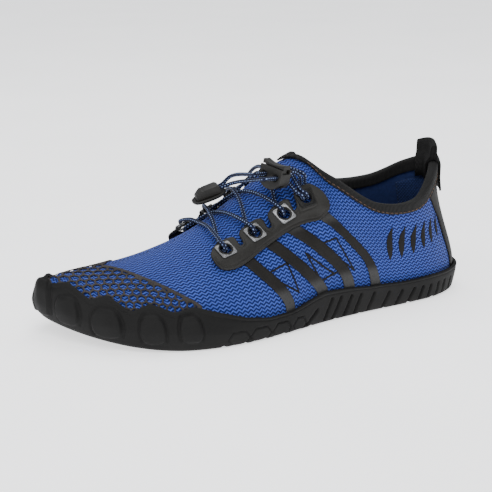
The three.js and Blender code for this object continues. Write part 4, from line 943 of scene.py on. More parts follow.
web_u = np.linspace(*WEB_SPAN, WEB_COLUMNS)
away = unit(skin(web_u, 1.0) - skin(web_u, 0.93))
sections = np.stack([at(web_u, h, n + 0 * web_u) + away * d for n, h, d in TAB_PROFILE], 1)
n_p = sections.shape[1]
faces = [(i * n_p + j, i * n_p + (j + 1) % n_p, (i + 1) * n_p + (j + 1) % n_p, (i + 1) * n_p + j)
         for i in range(WEB_COLUMNS - 1) for j in range(n_p)]
for side in (0, WEB_COLUMNS - 1):
    ring_start = side * n_p
    for (a, b), (c, d) in zip(WEB_RUNGS, WEB_RUNGS[1:]):
        loop = []
        for v in (a, c, d, b):
            if v not in loop:
                loop.append(v)
        faces.append(tuple(ring_start + v for v in loop))
width_at = np.linspace(-WEB_HALF, WEB_HALF, WEB_COLUMNS)
run_at = np.cumsum([0] + [math.hypot(b[0] - a[0], HEEL_DROP * (b[1] - a[1]) + b[2] - a[2])
                          for a, b in zip(TAB_PROFILE, TAB_PROFILE[1:])])
lay = np.stack([np.repeat(width_at[:, None], n_p, 1), np.repeat(run_at[None, :], WEB_COLUMNS, 0),
                np.zeros((WEB_COLUMNS, n_p))], -1).reshape(-1, 3)
tab = piece("heel_pull_tab", sections.reshape(-1, 3), faces,
            finish_of("black_twill_webbing", webbing_paint), lays={"web": lay})
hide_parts("pull_tab")

# ---- Cup sole ----
# One moulding of matte black rubber, cemented to the knit: a thick toe cup with raised pads,
# a side wall with slanted cuts toward the heel, a row of hexagon lugs, and a grooved tread.
CUP_GAP, CUP_WALL, SOLE_CLEAR, GROOVE_WIDTH, GROOVE_DEPTH = 1.4, 1.9, 0.5, 3.0, 1.5
CUP_OUT = CUP_GAP + CUP_WALL
SOLE_COLUMNS, WALL_ROWS, TREAD_ROWS = 1408, 38, 26
TOE_BUMPS = [[0, 1.0], [0.0227, -0.6], [0.0682, 1.0], [0.1136, -0.9], [0.148, 1.0], [0.182, -0.9],
             [0.216, 1.0], [0.25, -0.9], [0.282, 0.9], [0.32, 0], [1, 0]]
PADS = [(0.004, 5.2, 14, 35), (0.067, 6.3, 12.5, 28.5), (0.139, 7.6, 8.5, 24.3), (0.212, 6.2, 6.0, 21.8),
        (0.270, 5.8, 6.0, 20.6)]
CUTS = [(0.521, 0.040, 0.493, -0.045), (0.556, 0.076, 0.537, -0.04), (0.577, 0.072, 0.557, -0.02),
        (0.601, 0.066, 0.583, -0.02), (0.623, 0.062, 0.607, -0.02), (0.653, 0.055, 0.638, -0.03),
        (0.686, 0.050, 0.672, -0.04), (0.716, 0.054, 0.702, -0.04), (0.747, 0.060, 0.731, -0.04),
        (0.770, 0.066, 0.760, -0.03), (0.792, 0.072, 0.785, -0.02), (0.816, 0.079, 0.811, -0.01),
        (0.839, 0.086, 0.835, 0.0), (0.868, 0.088, 0.865, 0.0)]
LUGS = [(0.355, 6.4), (0.398, 6.4), (0.442, 6.2), (0.481, 5.2)]
TREAD = [-58, -44, -30, -16, 6, 26, 46, 66, 86, 106]


def ground_height(x):
    return 10 * np.maximum(0, (-76 - x) / 63) ** 1.8


def ground_ring(u, inset, lift):
    fan = np.radians(spline(FAN, side_share(u), -FAN[1], 360 - FAN[-2]))
    side = np.where(u % 2 <= 1, -1.0, 1.0)
    out = np.stack([-np.cos(fan), side * np.sin(fan), 0 * fan], -1)
    spot = skin(u, 0.0) + out * (FEATHER_INSET - inset)
    spot[:, 2] = ground_height(spot[:, 0]) + lift
    return spot


sole_u = np.arange(SOLE_COLUMNS) * 2 / SOLE_COLUMNS
edge_h = by_side(EDGE, sole_u)
soften = np.array([1, 4, 7, 8, 7, 4, 1]) / 32
edge_h = np.convolve(np.concatenate([edge_h[-3:], edge_h, edge_h[:3]]), soften, "valid")
bump = np.where(sole_u <= 1, follow(TOE_BUMPS, side_share(sole_u)),
                np.maximum(0, 1.0 - 10 * side_share(sole_u)))
wide = np.hanning(25) / np.hanning(25).sum()
bump = np.convolve(np.concatenate([bump[-12:], bump, bump[:12]]), wide, "valid")
keys = [ground_ring(sole_u, 1.6, 0.5), ground_ring(sole_u, 0, 2.2), at(sole_u, 0.3 * edge_h, CUP_OUT + bump),
        at(sole_u, 0.7 * edge_h, CUP_OUT + bump), at(sole_u, 0.97 * edge_h, CUP_OUT + 0.5 * bump)]
wall = []
for w in np.linspace(0, 4, WALL_ROWS):
    i = min(int(w), 3)
    f = w - i
    a = keys[i - 1] if i else 2 * keys[0] - keys[1]
    b, c = keys[i], keys[i + 1]
    d = keys[i + 2] if i < 3 else 2 * keys[4] - keys[3]
    bend = 0.5 * (2 * b + (c - a) * f + (2 * a - 5 * b + 4 * c - d) * f ** 2
                  + (3 * b - a - 3 * c + d) * f ** 3)
    wall.append(0.6 * bend + 0.4 * (b * (1 - f) + c * f))
wall = np.stack(wall)
round_u = np.roll(wall, -1, 1) - np.roll(wall, 1, 1)
up_w = np.gradient(wall, axis=0)
outward = unit(np.cross(round_u, up_w))
outward *= np.sign((outward * (wall - wall.mean((0, 1)))).sum(-1).mean())
row_share = np.linspace(0, 1, WALL_ROWS)[:, None]
sole_s = laid_out(sole_u, 0.05)[0]
lap = table_s[-1]
height = wall[..., 2]
relief = 0.32 * smooth((row_share - 0.90) / 0.03) - 0.30 * np.exp(-((row_share - 0.865) / 0.018) ** 2)
for t, half, low, high in PADS:
    for flip in (t, 2 - t):
        ds = (sole_s - laid_out(flip, 0.05)[0] + lap / 2) % lap - lap / 2
        if flip > 1 and t > 0.1:
            continue
        dz = (height - 0.5 * (low + high)) / (0.5 * (high - low))
        lean_top = 1 - 0.12 * np.clip(dz, 0, 1)
        q = ((np.abs(ds / (half * lean_top))) ** 3.2 + np.abs(dz) ** 3.2) ** (1 / 3.2)
        relief = np.maximum(relief, relief * smooth((q - 1) / 0.1) + 1.8 * smooth((1.06 - q) * 5.5))
        relief = relief - 0.7 * np.exp(-((q - 1.17) / 0.06) ** 2) * (dz > -0.9)
for side, sign, offset in SIDES:
    for t1, h1, t0, h0 in CUTS:
        a = skin(offset + sign * t1, h1) + normal(offset + sign * t1, h1) * CUP_OUT
        b = skin(offset + sign * t0, h0) + normal(offset + sign * t0, max(h0, 0.0)) * CUP_OUT
        b[2] = min(b[2], 1.5)
        reach = b - a
        spot = wall - a
        f = np.clip((spot @ reach) / (reach @ reach), 0, 1)
        far = np.linalg.norm(spot - f[..., None] * reach, axis=-1)
        relief = relief - 1.8 * smooth((1.25 - far) / 0.5)
    for t, half in LUGS:
        ds = sole_s - laid_out(offset + sign * t, 0.05)[0]
        dz = height - 4.6
        six = np.maximum(np.abs(dz) - 4.4, (np.abs(ds) + np.abs(dz) * 0.75) - half - 0.9)
        relief = relief - 0.95 * np.exp(-(six / 0.42) ** 2) * smooth((9.8 - height) / 0.8)
wall = wall + outward * relief[..., None]
lips = [at(sole_u, edge_h, CUP_OUT - 0.25 + 0.5 * bump), at(sole_u, edge_h * 1.012, CUP_OUT - 0.9)]
inner = [at(sole_u, share * edge_h, CUP_GAP) for share in (0.995, 0.97, 0.9, 0.76, 0.62, 0.4)]
seat = at(sole_u, 0.0, CUP_GAP)
seat[:, 2] = going_on(FEATHER_Z, side_share(sole_u)) - SOLE_CLEAR
rings = [ground_ring(sole_u, 5, 0), ground_ring(sole_u, 3, 0.08), *wall, *lips, *inner, seat]
n_s, half = SOLE_COLUMNS, SOLE_COLUMNS // 2
points = list(np.concatenate(rings))
faces = [(r * n_s + i, r * n_s + (i + 1) % n_s, (r + 1) * n_s + (i + 1) % n_s, (r + 1) * n_s + i)
         for r in range(len(rings) - 1) for i in range(n_s)]


def strips(start, across, bend=None):
    """Closes a ring of the sole with strips from the lateral to the medial side."""
    rows = []
    for i in range(half + 1):
        a, b = start + i, start + (n_s - i) % n_s
        line = [a]
        if a != b:
            for m in range(1, across):
                line.append(len(points))
                points.append(points[a] * (1 - m / across) + points[b] * (m / across))
            line.append(b)
        rows.append(line)
    for low, high in zip(rows, rows[1:]):
        if len(low) == 1 or len(high) == 1:
            fan, tip = (high, low[0]) if len(low) == 1 else (low, high[0])
            faces.extend((tip, p, q) for p, q in zip(fan, fan[1:]))
        else:
            faces.extend((low[m], high[m], high[m + 1], low[m + 1]) for m in range(across))


strips(0, TREAD_ROWS)
strips((len(rings) - 1) * n_s, 6)
points = np.array(points)
under = points[:, 2] < ground_height(points[:, 0]) + GROOVE_DEPTH
cut = np.zeros(len(points))
for x in TREAD:
    wavy = x + 2.2 * (np.abs((points[:, 1] / 14) % 1 - 0.5) * 2 - 0.5) * (np.abs(points[:, 1]) < 40)
    inside = (0.5 * GROOVE_WIDTH + 0.3 - np.abs(points[:, 0] - wavy)) / 0.5
    cut = np.maximum(cut, smooth(inside) * GROOVE_DEPTH)
    siped = np.abs(points[:, 0] - wavy - 7) < 0.5
    cut = np.maximum(cut, np.where(siped, 0.8, 0))
points[:, 2] = np.where(under, np.maximum(points[:, 2], ground_height(points[:, 0]) + cut), points[:, 2])


def rubber_paint(start):
    fleck = start.grain(900.0, 4.0)
    cloud = start.grain(24.0, 4.0)
    height = start.laid("place", 2)
    dust = (1.0 - height.step(0.0, 9.0)) * cloud.step(0.35, 0.75) * 0.30
    tone = fleck * 0.35 + cloud * 0.65
    colour = tone.ramp((0.3, (0.0035, 0.0035, 0.0035)), (0.7, (0.0105, 0.0102, 0.0098)))
    return {"Base Color": colour.tint(dust, (0.026, 0.025, 0.023, 1.0)),
            "Roughness": 0.60 + fleck * 0.22, "Height": fleck * 0.07 + cloud * 0.05}


sole_finish = finish_of("black_sole_rubber", rubber_paint)
sole = piece("cup_sole", points, faces, sole_finish, lays={"place": points})
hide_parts("outsole")

# ---- Lacing plates and eyelet frames ----
# A moulded plate of dark flexible plastic is welded on each side of the throat. Its four tabs
# stand off the knit, and each is riveted through by a square frame, three bright, one black,
# with a thin black ring pressed round its hole.
PLATE_LIFT, PLATE, TAB_LIFT, FRAME, FRAME_SIZE, EYELET_BORE = 1.4, 1.3, 2.7, 0.7, 10.0, 6.6
FRAME_CORNER = 1.3
EYE_TOP = PLATE_LIFT + TAB_LIFT + PLATE
EYELETS = {"lat": [(0.376, 0.602), (0.437, 0.605), (0.492, 0.606), (0.53, 0.625)],
           "med": [(0.374, 0.655), (0.424, 0.68), (0.471, 0.7), (0.512, 0.685)]}
PLATE_EDGE = {"lat": [(0.347, 0.62), (0.347, 0.55), (0.358, 0.5), (0.379, 0.476), (0.406, 0.484),
                      (0.443, 0.509), (0.498, 0.518), (0.525, 0.505), (0.553, 0.5), (0.578, 0.58),
                      (0.588, 0.66), (0.578, 0.7), (0.55, 0.71)],
              "med": [(0.347, 0.66), (0.347, 0.59), (0.358, 0.54), (0.379, 0.516), (0.406, 0.52),
                      (0.443, 0.53), (0.498, 0.538), (0.525, 0.525), (0.548, 0.53), (0.566, 0.6),
                      (0.572, 0.69), (0.562, 0.75), (0.54, 0.775)]}
TAB_HALF, TAB_TOP, NOTCH_FLOOR = 0.0262, 0.075, 0.02
PLATE_PITCH = 0.45


def plate_outline(side):
    corners, eyes = list(PLATE_EDGE[side]), EYELETS[side]
    for i in range(3, -1, -1):
        t, h = eyes[i]
        right = t if i == 3 else min(t + TAB_HALF, (t + eyes[i + 1][0]) / 2 - 0.004)
        left = t - 0.018 if i == 0 else max(t - TAB_HALF, (t + eyes[i - 1][0]) / 2 + 0.004)
        if i < 3:
            corners += [(right, h - NOTCH_FLOOR), (right, h + TAB_TOP * 0.75)]
        corners += [((t + right) / 2, h + TAB_TOP), ((t + left) / 2, h + TAB_TOP), (left, h + TAB_TOP * 0.75)]
        if i > 0:
            corners.append((left, h - NOTCH_FLOOR))
    return corners


def bright_paint(start):
    brush = start.grain(1800.0, 2.0)
    cloud = start.grain(120.0, 3.0)
    tone = brush * 0.5 + cloud * 0.5
    return {"Base Color": tone.ramp((0.3, (0.11, 0.112, 0.115)), (0.7, (0.21, 0.21, 0.215))),
            "Roughness": 0.24 + cloud * 0.18, "Height": brush * 0.02}


plate_finish = finish_of("taupe_grey_plate", speckled(
    1300.0, 45.0, (0.009, 0.0085, 0.0075), (0.022, 0.021, 0.019), 0.42, 0.2, 0.04), Specular_IOR_Level=0.2)
bright_finish = finish_of("bright_nickel_frame", bright_paint, Metallic=0.9)
black_finish = finish_of("black_moulded_plastic", speckled(
    1500.0, 70.0, (0.005, 0.005, 0.0048), (0.014, 0.0135, 0.0125), 0.34, 0.22, 0.035))


def eyelet_axes(u, h):
    along, up = along_up(u, h)
    e1 = unit(along)
    return skin(u, h), e1, unit(up - e1 * (up @ e1))


for side, sign, offset in SIDES:
    eyes = [(offset + sign * t, h) for t, h in EYELETS[side]]
    line = outline_of([(offset + sign * t, h) for t, h in plate_outline(side)], 2)
    axes = [eyelet_axes(*eye) for eye in eyes]

    def eye_far(u, h, i):
        spot, e1, e2 = axes[i]
        d = skin(u, h) - spot
        return d @ e1, d @ e2

    def plate_shape(u, h):
        far = inside_outline(line, *laid_out(u, h))
        for i in range(4):
            a, b = eye_far(u, h, i)
            far = np.maximum(far, 0.5 * EYELET_BORE - np.hypot(a, b))
        return far

    def tab_rise(u, h):
        eye = follow(EYELETS[side], side_share(u))
        return PLATE_LIFT + TAB_LIFT * smooth((h - (eye - 0.105)) / 0.075)

    def plate_relief(u, h, depth):
        outer = -inside_outline(line, *laid_out(u, h))
        dent = -0.60 * np.exp(-((outer - 1.7) / 0.36) ** 2) * smooth((0.60 - h) / 0.04 + 0.3)
        a, b = eye_far(u, h, 3)
        square = np.maximum(np.abs(a), np.abs(b))
        return dent - 0.50 * np.exp(-((square - 6.4) / 0.36) ** 2) * (outer > 1.2)

    us = [p[0] for p in plate_outline(side)]
    hs = [p[1] for p in plate_outline(side)]
    ends = sorted((offset + sign * (min(us) - 0.006), offset + sign * (max(us) + 0.006)))
    cut_film(f"lacing_plate_{side}", ends, (min(hs) - 0.02, max(hs) + 0.02), PLATE_PITCH, plate_shape,
             plate_finish, "plate_tpu", low=tab_rise, thick=PLATE, round_to=0.45, relief=plate_relief,
             hides=[f"lace_plate_{side}"])
    for i, (u, h) in enumerate(eyes):
        def frame_shape(gu, gh):
            a, b = eye_far(gu, gh, i)
            half = 0.5 * FRAME_SIZE
            square = np.hypot(np.maximum(np.abs(a) - half + FRAME_CORNER, 0),
                              np.maximum(np.abs(b) - half + FRAME_CORNER, 0)) - FRAME_CORNER
            return np.maximum(square, 0.5 * EYELET_BORE - 0.1 - np.hypot(a, b))

        def frame_relief(gu, gh, depth):
            a, b = eye_far(gu, gh, i)
            square = np.maximum(np.abs(a), np.abs(b))
            return -0.18 * np.exp(-((square - 0.5 * FRAME_SIZE + 0.75) / 0.16) ** 2)

        def ring_shape(gu, gh):
            a, b = eye_far(gu, gh, i)
            return np.abs(np.hypot(a, b) - 0.5 * EYELET_BORE - 0.42) - 0.5

        rate_u = np.linalg.norm(along_up(u, h)[0])
        rate_h = np.linalg.norm(along_up(u, h)[1])
        cut_film(f"eyelet_square_{side}_{i + 1}", (u - 8 / rate_u, u + 8 / rate_u),
                 (h - 8 / rate_h, min(1.0, h + 8 / rate_h)), 0.3, frame_shape,
                 bright_finish if i < 3 else black_finish, "frame_silver" if i < 3 else "frame_black",
                 low=EYE_TOP + FIT, thick=FRAME, round_to=0.3, relief=frame_relief,
                 hides=[f"eyelet_frame_{side}_{i + 1}"])
        cut_film(f"eyelet_ring_{side}_{i + 1}", (u - 5 / rate_u, u + 5 / rate_u),
                 (h - 5 / rate_h, min(1.0, h + 5 / rate_h)), 0.22, ring_shape, black_finish, "frame_black",
                 low=EYE_TOP + FIT + FRAME + 0.02, thick=0.3, round_to=0.2)

# ---- Lace ----
# One elastic lace with a braided navy cover and pale flecks: two halves start at the last
# lateral tab, cross the vamp tab by tab, and meet at the front; their ends run to the lock.
LACE = 2.4
LACE_R = LACE / 2
ABOVE, BELOW = EYE_TOP + FIT + FRAME + LACE_R + 0.35, LACE_R + 0.4
ENTER_SKEW, LEAVE_SKEW = 2.5, -3.5
PAIR, HIGH, LOW = LACE_R + 0.35, BELOW + LACE + 0.5, BELOW + 0.2
LACE_SIDES, LACE_STEP = 16, 0.45


def eye_point(side, i, shift, throatward, n):
    t, h = EYELETS[side][i]
    u = t if side == "lat" else 2 - t
    _, e1, e2 = eyelet_axes(u, h)
    return at(u, h, n) + e2 * throatward + e1 * ((-1 if side == "lat" else 1) * shift)


def out_of_top(side, i, shift=0.0):
    skew = ENTER_SKEW if side == "lat" and i == 3 else 0.0
    return [eye_point(side, i, shift, 0.3, EYE_TOP), eye_point(side, i, shift + skew / 3, 2, ABOVE + 0.1),
            eye_point(side, i, shift + skew, 4.6, ABOVE)]


def under_tab(side, i, shift=0.0):
    skew = LEAVE_SKEW if side == "lat" and i == 3 else 0.0
    return [eye_point(side, i, shift + skew, 6.5, BELOW + 0.1),
            eye_point(side, i, shift + skew / 3, 2.6, BELOW + 0.1),
            eye_point(side, i, shift, 0.6, BELOW + 1.4)]


def crossing(t, h, side, n):
    return at(t if side == "lat" else 2 - t, h, n)


def across(side_a, i, side_b, j, n):
    ta, tb = EYELETS[side_a][i][0], EYELETS[side_b][j][0]
    clear = 0.01 if i == 3 and j == 3 else 0.0
    return [crossing(ta + (tb - ta) * 0.3, 0.85, side_a, (ABOVE + 3 * n) / 4),
            crossing(ta + (tb - ta) * 0.5 - clear, 1.0, "lat", n),
            crossing(ta + (tb - ta) * 0.7, 0.87, side_b, (2 * n + BELOW) / 3)]


def front_bar(side_a, i, side_b, j, n):
    ta, tb = EYELETS[side_a][i][0], EYELETS[side_b][j][0]
    return [crossing(ta + (tb - ta) * 0.25, 0.84, side_a, (ABOVE + n) / 2),
            crossing(ta + (tb - ta) * 0.5, 1.0, "lat", n),
            crossing(ta + (tb - ta) * 0.75, 0.84, side_b, (ABOVE + n) / 2)]


def next_eye(side_a, i, side_b, j, n):
    return across(side_a, i, side_b, j, n) + under_tab(side_b, j) + out_of_top(side_b, j)


def through(points, count=28):
    """A smooth line through points, evenly spaced."""
    p = [np.asarray(q, float) for q in points]
    p = [2 * p[0] - p[1], *p, 2 * p[-1] - p[-2]]
    line = []
    for p0, p1, p2, p3 in zip(p, p[1:], p[2:], p[3:]):
        d0, d1, d2 = (max(np.linalg.norm(b - a), 1e-6) ** 0.5 for a, b in ((p0, p1), (p1, p2), (p2, p3)))
        m1 = ((p1 - p0) / d0 - (p2 - p0) / (d0 + d1) + (p2 - p1) / d1) * d1
        m2 = ((p2 - p1) / d1 - (p3 - p1) / (d1 + d2) + (p3 - p2) / d2) * d1
        for f in np.arange(count) / count:
            line.append((2 * f ** 3 - 3 * f ** 2 + 1) * p1 + (f ** 3 - 2 * f ** 2 + f) * m1
                        + (3 * f ** 2 - 2 * f ** 3) * p2 + (f ** 3 - f ** 2) * m2)
    line.append(p[-2])
    line = np.array(line)
    gone = np.concatenate([[0], np.cumsum(np.linalg.norm(np.diff(line, axis=0), axis=1))])
    even = np.linspace(0, gone[-1], max(8, int(gone[-1] / LACE_STEP)))
    return np.stack([np.interp(even, gone, line[:, c]) for c in range(3)], -1), gone[-1]


def braid_paint(start):
    run, turn = start.laid("braid", 0), start.maths("ARCTAN2", start.laid("braid", 2), start.laid("braid", 1))
    row = turn / math.tau * 4.0 + 12.0
    across_row = row % 1.0 - 0.5
    stagger = (row - (row % 1.0)) % 2.0 * 0.5
    place = (run / 1.9 + stagger) % 1.0 - 0.5
    fleck = (place * place) / 0.042 + (across_row * across_row) / 0.030
    pale = 1.0 - fleck.step(0.75, 1.25)
    ply = (run / 0.55 + turn / math.tau * 8.0).wave() * (run / 0.55 - turn / math.tau * 8.0).wave()
    fuzz = start.grain(2200.0, 3.0)
    base = (ply * 0.5 + fuzz * 0.5).ramp((0.2, (0.002, 0.003, 0.011)), (0.85, (0.010, 0.016, 0.062)))
    light = fuzz.ramp((0.3, (0.13, 0.20, 0.42)), (0.7, (0.30, 0.40, 0.62)))
    return {"Base Color": base.tint(pale, light), "Roughness": 0.62 + fuzz * 0.2,
            "Height": ply * 0.10 + pale * 0.08}


braid_finish = finish_of("flecked_navy_braid", braid_paint, Sheen_Weight=0.05)


def lace(name, route, node):
    line, length = through(route)
    ahead = unit(np.gradient(line, axis=0))
    side = unit(np.cross(ahead[0], np.array([0.3, 0.2, 1.0])))
    points, lays, count = [], [], len(line)
    gap = length / (count - 1)
    for i in range(count):
        side = unit(side - ahead[i] * (side @ ahead[i]))
        other = np.cross(ahead[i], side)
        end = min(i, count - 1 - i)
        wide = LACE_R * (0.80 if end == 0 else 1.0)
        for r in range(LACE_SIDES):
            a = math.tau * r / LACE_SIDES
            points.append(line[i] + side * math.cos(a) * wide + other * math.sin(a) * wide)
            lays.append((i * gap, math.cos(a), math.sin(a)))
    faces = [(i * LACE_SIDES + r, i * LACE_SIDES + (r + 1) % LACE_SIDES,
              (i + 1) * LACE_SIDES + (r + 1) % LACE_SIDES, (i + 1) * LACE_SIDES + r)
             for i in range(count - 1) for r in range(LACE_SIDES)]
    faces.append(tuple(range(LACE_SIDES)))
    faces.append(tuple((count - 1) * LACE_SIDES + r for r in range(LACE_SIDES)))
    made = piece(name, points, faces, braid_finish, lays={"braid": lays})
    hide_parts(node)
    return made, line, length


lace("lace_first_half", under_tab("lat", 3, -PAIR) + out_of_top("lat", 3, -PAIR)
     + next_eye("lat", 3, "med", 3, LOW) + next_eye("med", 3, "lat", 2, HIGH)
     + next_eye("lat", 2, "med", 1, LOW) + next_eye("med", 1, "lat", 0, HIGH)
     + front_bar("lat", 0, "med", 0, LOW) + out_of_top("med", 0)[::-1], "lace_run_a")
lace("lace_second_half", under_tab("lat", 3, PAIR) + out_of_top("lat", 3, PAIR)
     + next_eye("lat", 3, "med", 2, LOW) + next_eye("med", 2, "lat", 1, HIGH)
     + across("lat", 1, "med", 0, LOW) + under_tab("med", 0), "lace_run_b")

# ---- Cord lock ----
# A rounded plastic body with two holes for the lace ends, and a saddle-topped button on a
# steel spring inside it. Pressing the saddle frees the cords; the spring grips them again.
LOCK_WIDTH, LOCK_DEPTH, LOCK_HEIGHT, CORD_PITCH, PRESS, LOCK_SLIDE = 17.0, 9.0, 11.0, 9.0, 2.6, 7.5


def frame_of(origin, x, z):
    ex = unit(np.array(x, float))
    z = np.array(z, float)
    ez = unit(z - ex * (z @ ex))
    return np.array(origin, float), np.stack([ex, np.cross(ez, ex), ez])


lock_frame = frame_of(skin(0.476, 0.84) + [1.8, -15, 14.6], (-0.943, -0.318, 0.099), (0.145, -0.125, 0.982))
CLIP_LENGTH, CLIP_WIDTH = 22.0, 13.0
clip_frame = frame_of(skin(2 - 0.405, 0.9) + [-2.5, -2, 13.2], (-0.91, 0.27, -0.32), (-0.25, -0.1, 1))


def placed(frame_, x, y, z):
    return frame_[0] + x * frame_[1][0] + y * frame_[1][1] + z * frame_[1][2]


def matrix_of(frame_):
    turned = Matrix(frame_[1].T.tolist()).to_4x4()
    return Matrix.Translation(Vector((frame_[0] * 0.001).tolist())) @ turned


def moulded(name, outline, low, high, axis, frame_, finish, body, bevel, cuts=(), crown=None, hides=()):
    """A moulded block: a flat outline drawn through along an axis, cut by other blocks, edges rounded."""
    def block(points, a, b, along):
        edit = bmesh.new()
        rows = []
        for level in (a, b):
            put = {"x": lambda p, q: (level, p, q), "y": lambda p, q: (p, level, q),
                   "z": lambda p, q: (p, q, level)}[along]
            rows.append([edit.verts.new(Vector(put(p, q)) * 0.001) for p, q in points])
        for i in range(len(points)):
            j = (i + 1) % len(points)
            edit.faces.new((rows[0][i], rows[0][j], rows[1][j], rows[1][i]))
        edit.faces.new(rows[0])
        edit.faces.new(rows[1][::-1])
        bmesh.ops.recalc_face_normals(edit, faces=edit.faces)
        mesh = bpy.data.meshes.new(name)
        edit.to_mesh(mesh)
        edit.free()
        made = bpy.data.objects.new(name, mesh)
        bpy.context.scene.collection.objects.link(made)
        return made

    made = block(outline, low, high, axis)
    tools = []
    for points, a, b, along in cuts:
        tool = block(points, a, b, along)
        tools.append(tool)
        modifier = made.modifiers.new("cut", "BOOLEAN")
        modifier.operation, modifier.solver, modifier.object = "DIFFERENCE", "EXACT", tool
    round_off = made.modifiers.new("round", "BEVEL")
    round_off.width, round_off.segments, round_off.limit_method = bevel * 0.001, 3, "ANGLE"
    round_off.angle_limit = math.radians(38)
    round_off.harden_normals = False
    depsgraph = bpy.context.evaluated_depsgraph_get()
    mesh = bpy.data.meshes.new_from_object(made.evaluated_get(depsgraph))
    for extra in (*tools, made):
        bpy.data.objects.remove(extra)
    edit = bmesh.new()
    edit.from_mesh(mesh)
    bmesh.ops.triangulate(edit, faces=[f for f in edit.faces if len(f.verts) > 4])
    if crown:
        for vert in edit.verts:
            vert.co = Vector(crown(*(vert.co * 1000))) * 0.001
    edit.transform(matrix_of(frame_))
    edit.to_mesh(mesh)
    edit.free()
    mesh.name = name
    for polygon in mesh.polygons:
        polygon.use_smooth = True
    mesh.set_sharp_from_angle(angle=math.radians(40))
    mesh.materials.clear()
    mesh.materials.append(finish)
    final = bpy.data.objects.new(name, mesh)
    bpy.context.scene.collection.objects.link(final)
    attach(final, body)
    for node in hides:
        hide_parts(node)
    return final


def disc(cy, cz, radius, count=24):
    return [(cy + radius * math.cos(math.tau * i / count), cz + radius * math.sin(math.tau * i / count))
            for i in range(count)]


def box(y0, y1, z0, z1):
    return [(y0, z0), (y1, z0), (y1, z1), (y0, z1)]


lock_finish = finish_of("dark_grey_lock_plastic", speckled(
    1500.0, 90.0, (0.008, 0.0078, 0.0072), (0.022, 0.021, 0.019), 0.36, 0.22, 0.035), Specular_IOR_Level=0.2)
half = LOCK_WIDTH / 2
SHOULDER = 3.0
LOCK_BOTTOM = SHOULDER - LOCK_HEIGHT
BORE_R = LACE_R + 0.4
TONGUE_HALF = CORD_PITCH / 2 + BORE_R + 1.1
TONGUE_X = 3.4
POCKET_FLOOR = LOCK_BOTTOM + 1.3
SADDLE_HALF = (LOCK_DEPTH - 3.2) / 2
body_outline = [(half * math.cos(a), -1 + (-1 - LOCK_BOTTOM) * math.sin(a))
                for a in (math.pi * (1 + i / 28) for i in range(29))]
body_outline += [(half, SHOULDER + PRESS), (-half, SHOULDER + PRESS)]
hollow = [(box(-TONGUE_HALF - FIT, TONGUE_HALF + FIT, POCKET_FLOOR, SHOULDER + 1), -TONGUE_X / 2 - FIT,
           TONGUE_X / 2 + FIT, "x"),
          (box(-half - 1, half + 1, SHOULDER, SHOULDER + PRESS + 1), -SADDLE_HALF - 0.4,
           SADDLE_HALF + 0.4, "x")]
for y in (-CORD_PITCH / 2, CORD_PITCH / 2):
    hollow.append((disc(y, 0, BORE_R), -LOCK_DEPTH, LOCK_DEPTH, "x"))
    hollow.append((disc(y, 0, BORE_R + 0.75), LOCK_DEPTH / 2 - 0.9, LOCK_DEPTH, "x"))
moulded("lock_body", body_outline, -LOCK_DEPTH / 2, LOCK_DEPTH / 2, "x", lock_frame, lock_finish,
        "lock", 0.55, hollow, hides=["cord_lock_body"])

SADDLE_LOW = SHOULDER + PRESS + FIT
SLOT_LOW, SLOT_HIGH = -BORE_R - 0.2, BORE_R + PRESS + 0.2
WINDOW_HALF, WINDOW_TOP = 1.75, SLOT_HIGH + 0.4
LEG_BOTTOM = SLOT_LOW - 1.2
top_line = [(half * math.cos(a), SADDLE_LOW + 1.2 + 1.5 * abs(math.cos(a)) ** 2.2)
            for a in (math.pi * i / 16 for i in range(17))]
button_outline = [(-half, SADDLE_LOW), (-TONGUE_HALF, SADDLE_LOW), (-TONGUE_HALF, LEG_BOTTOM),
                  (-WINDOW_HALF, LEG_BOTTOM), (-WINDOW_HALF, WINDOW_TOP), (WINDOW_HALF, WINDOW_TOP),
                  (WINDOW_HALF, LEG_BOTTOM), (TONGUE_HALF, LEG_BOTTOM), (TONGUE_HALF, SADDLE_LOW),
                  (half, SADDLE_LOW), *top_line]
slots = [(box(y - BORE_R, y + BORE_R, SLOT_LOW, SLOT_HIGH), -LOCK_DEPTH, LOCK_DEPTH, "x")
         for y in (-CORD_PITCH / 2, CORD_PITCH / 2)]
tongue_outline = [(-TONGUE_HALF, SADDLE_LOW + 0.35), *button_outline[2:8], (TONGUE_HALF, SADDLE_LOW + 0.35)]
moulded("lock_button_tongue", tongue_outline,
        -TONGUE_X / 2, TONGUE_X / 2, "x", lock_frame, lock_finish, "lock_button", 0.12, slots)
moulded("lock_button_saddle", [(-half, SADDLE_LOW), (half, SADDLE_LOW), *top_line],
        -SADDLE_HALF, SADDLE_HALF, "x", lock_frame, lock_finish, "lock_button",
        0.4, hides=["cord_lock_button"])


def steel_paint(start):
    brush = start.grain(2500.0, 2.0)
    return {"Base Color": brush.ramp((0.3, (0.42, 0.42, 0.43)), (0.7, (0.62, 0.62, 0.63))),
            "Roughness": 0.28 + brush * 0.15}


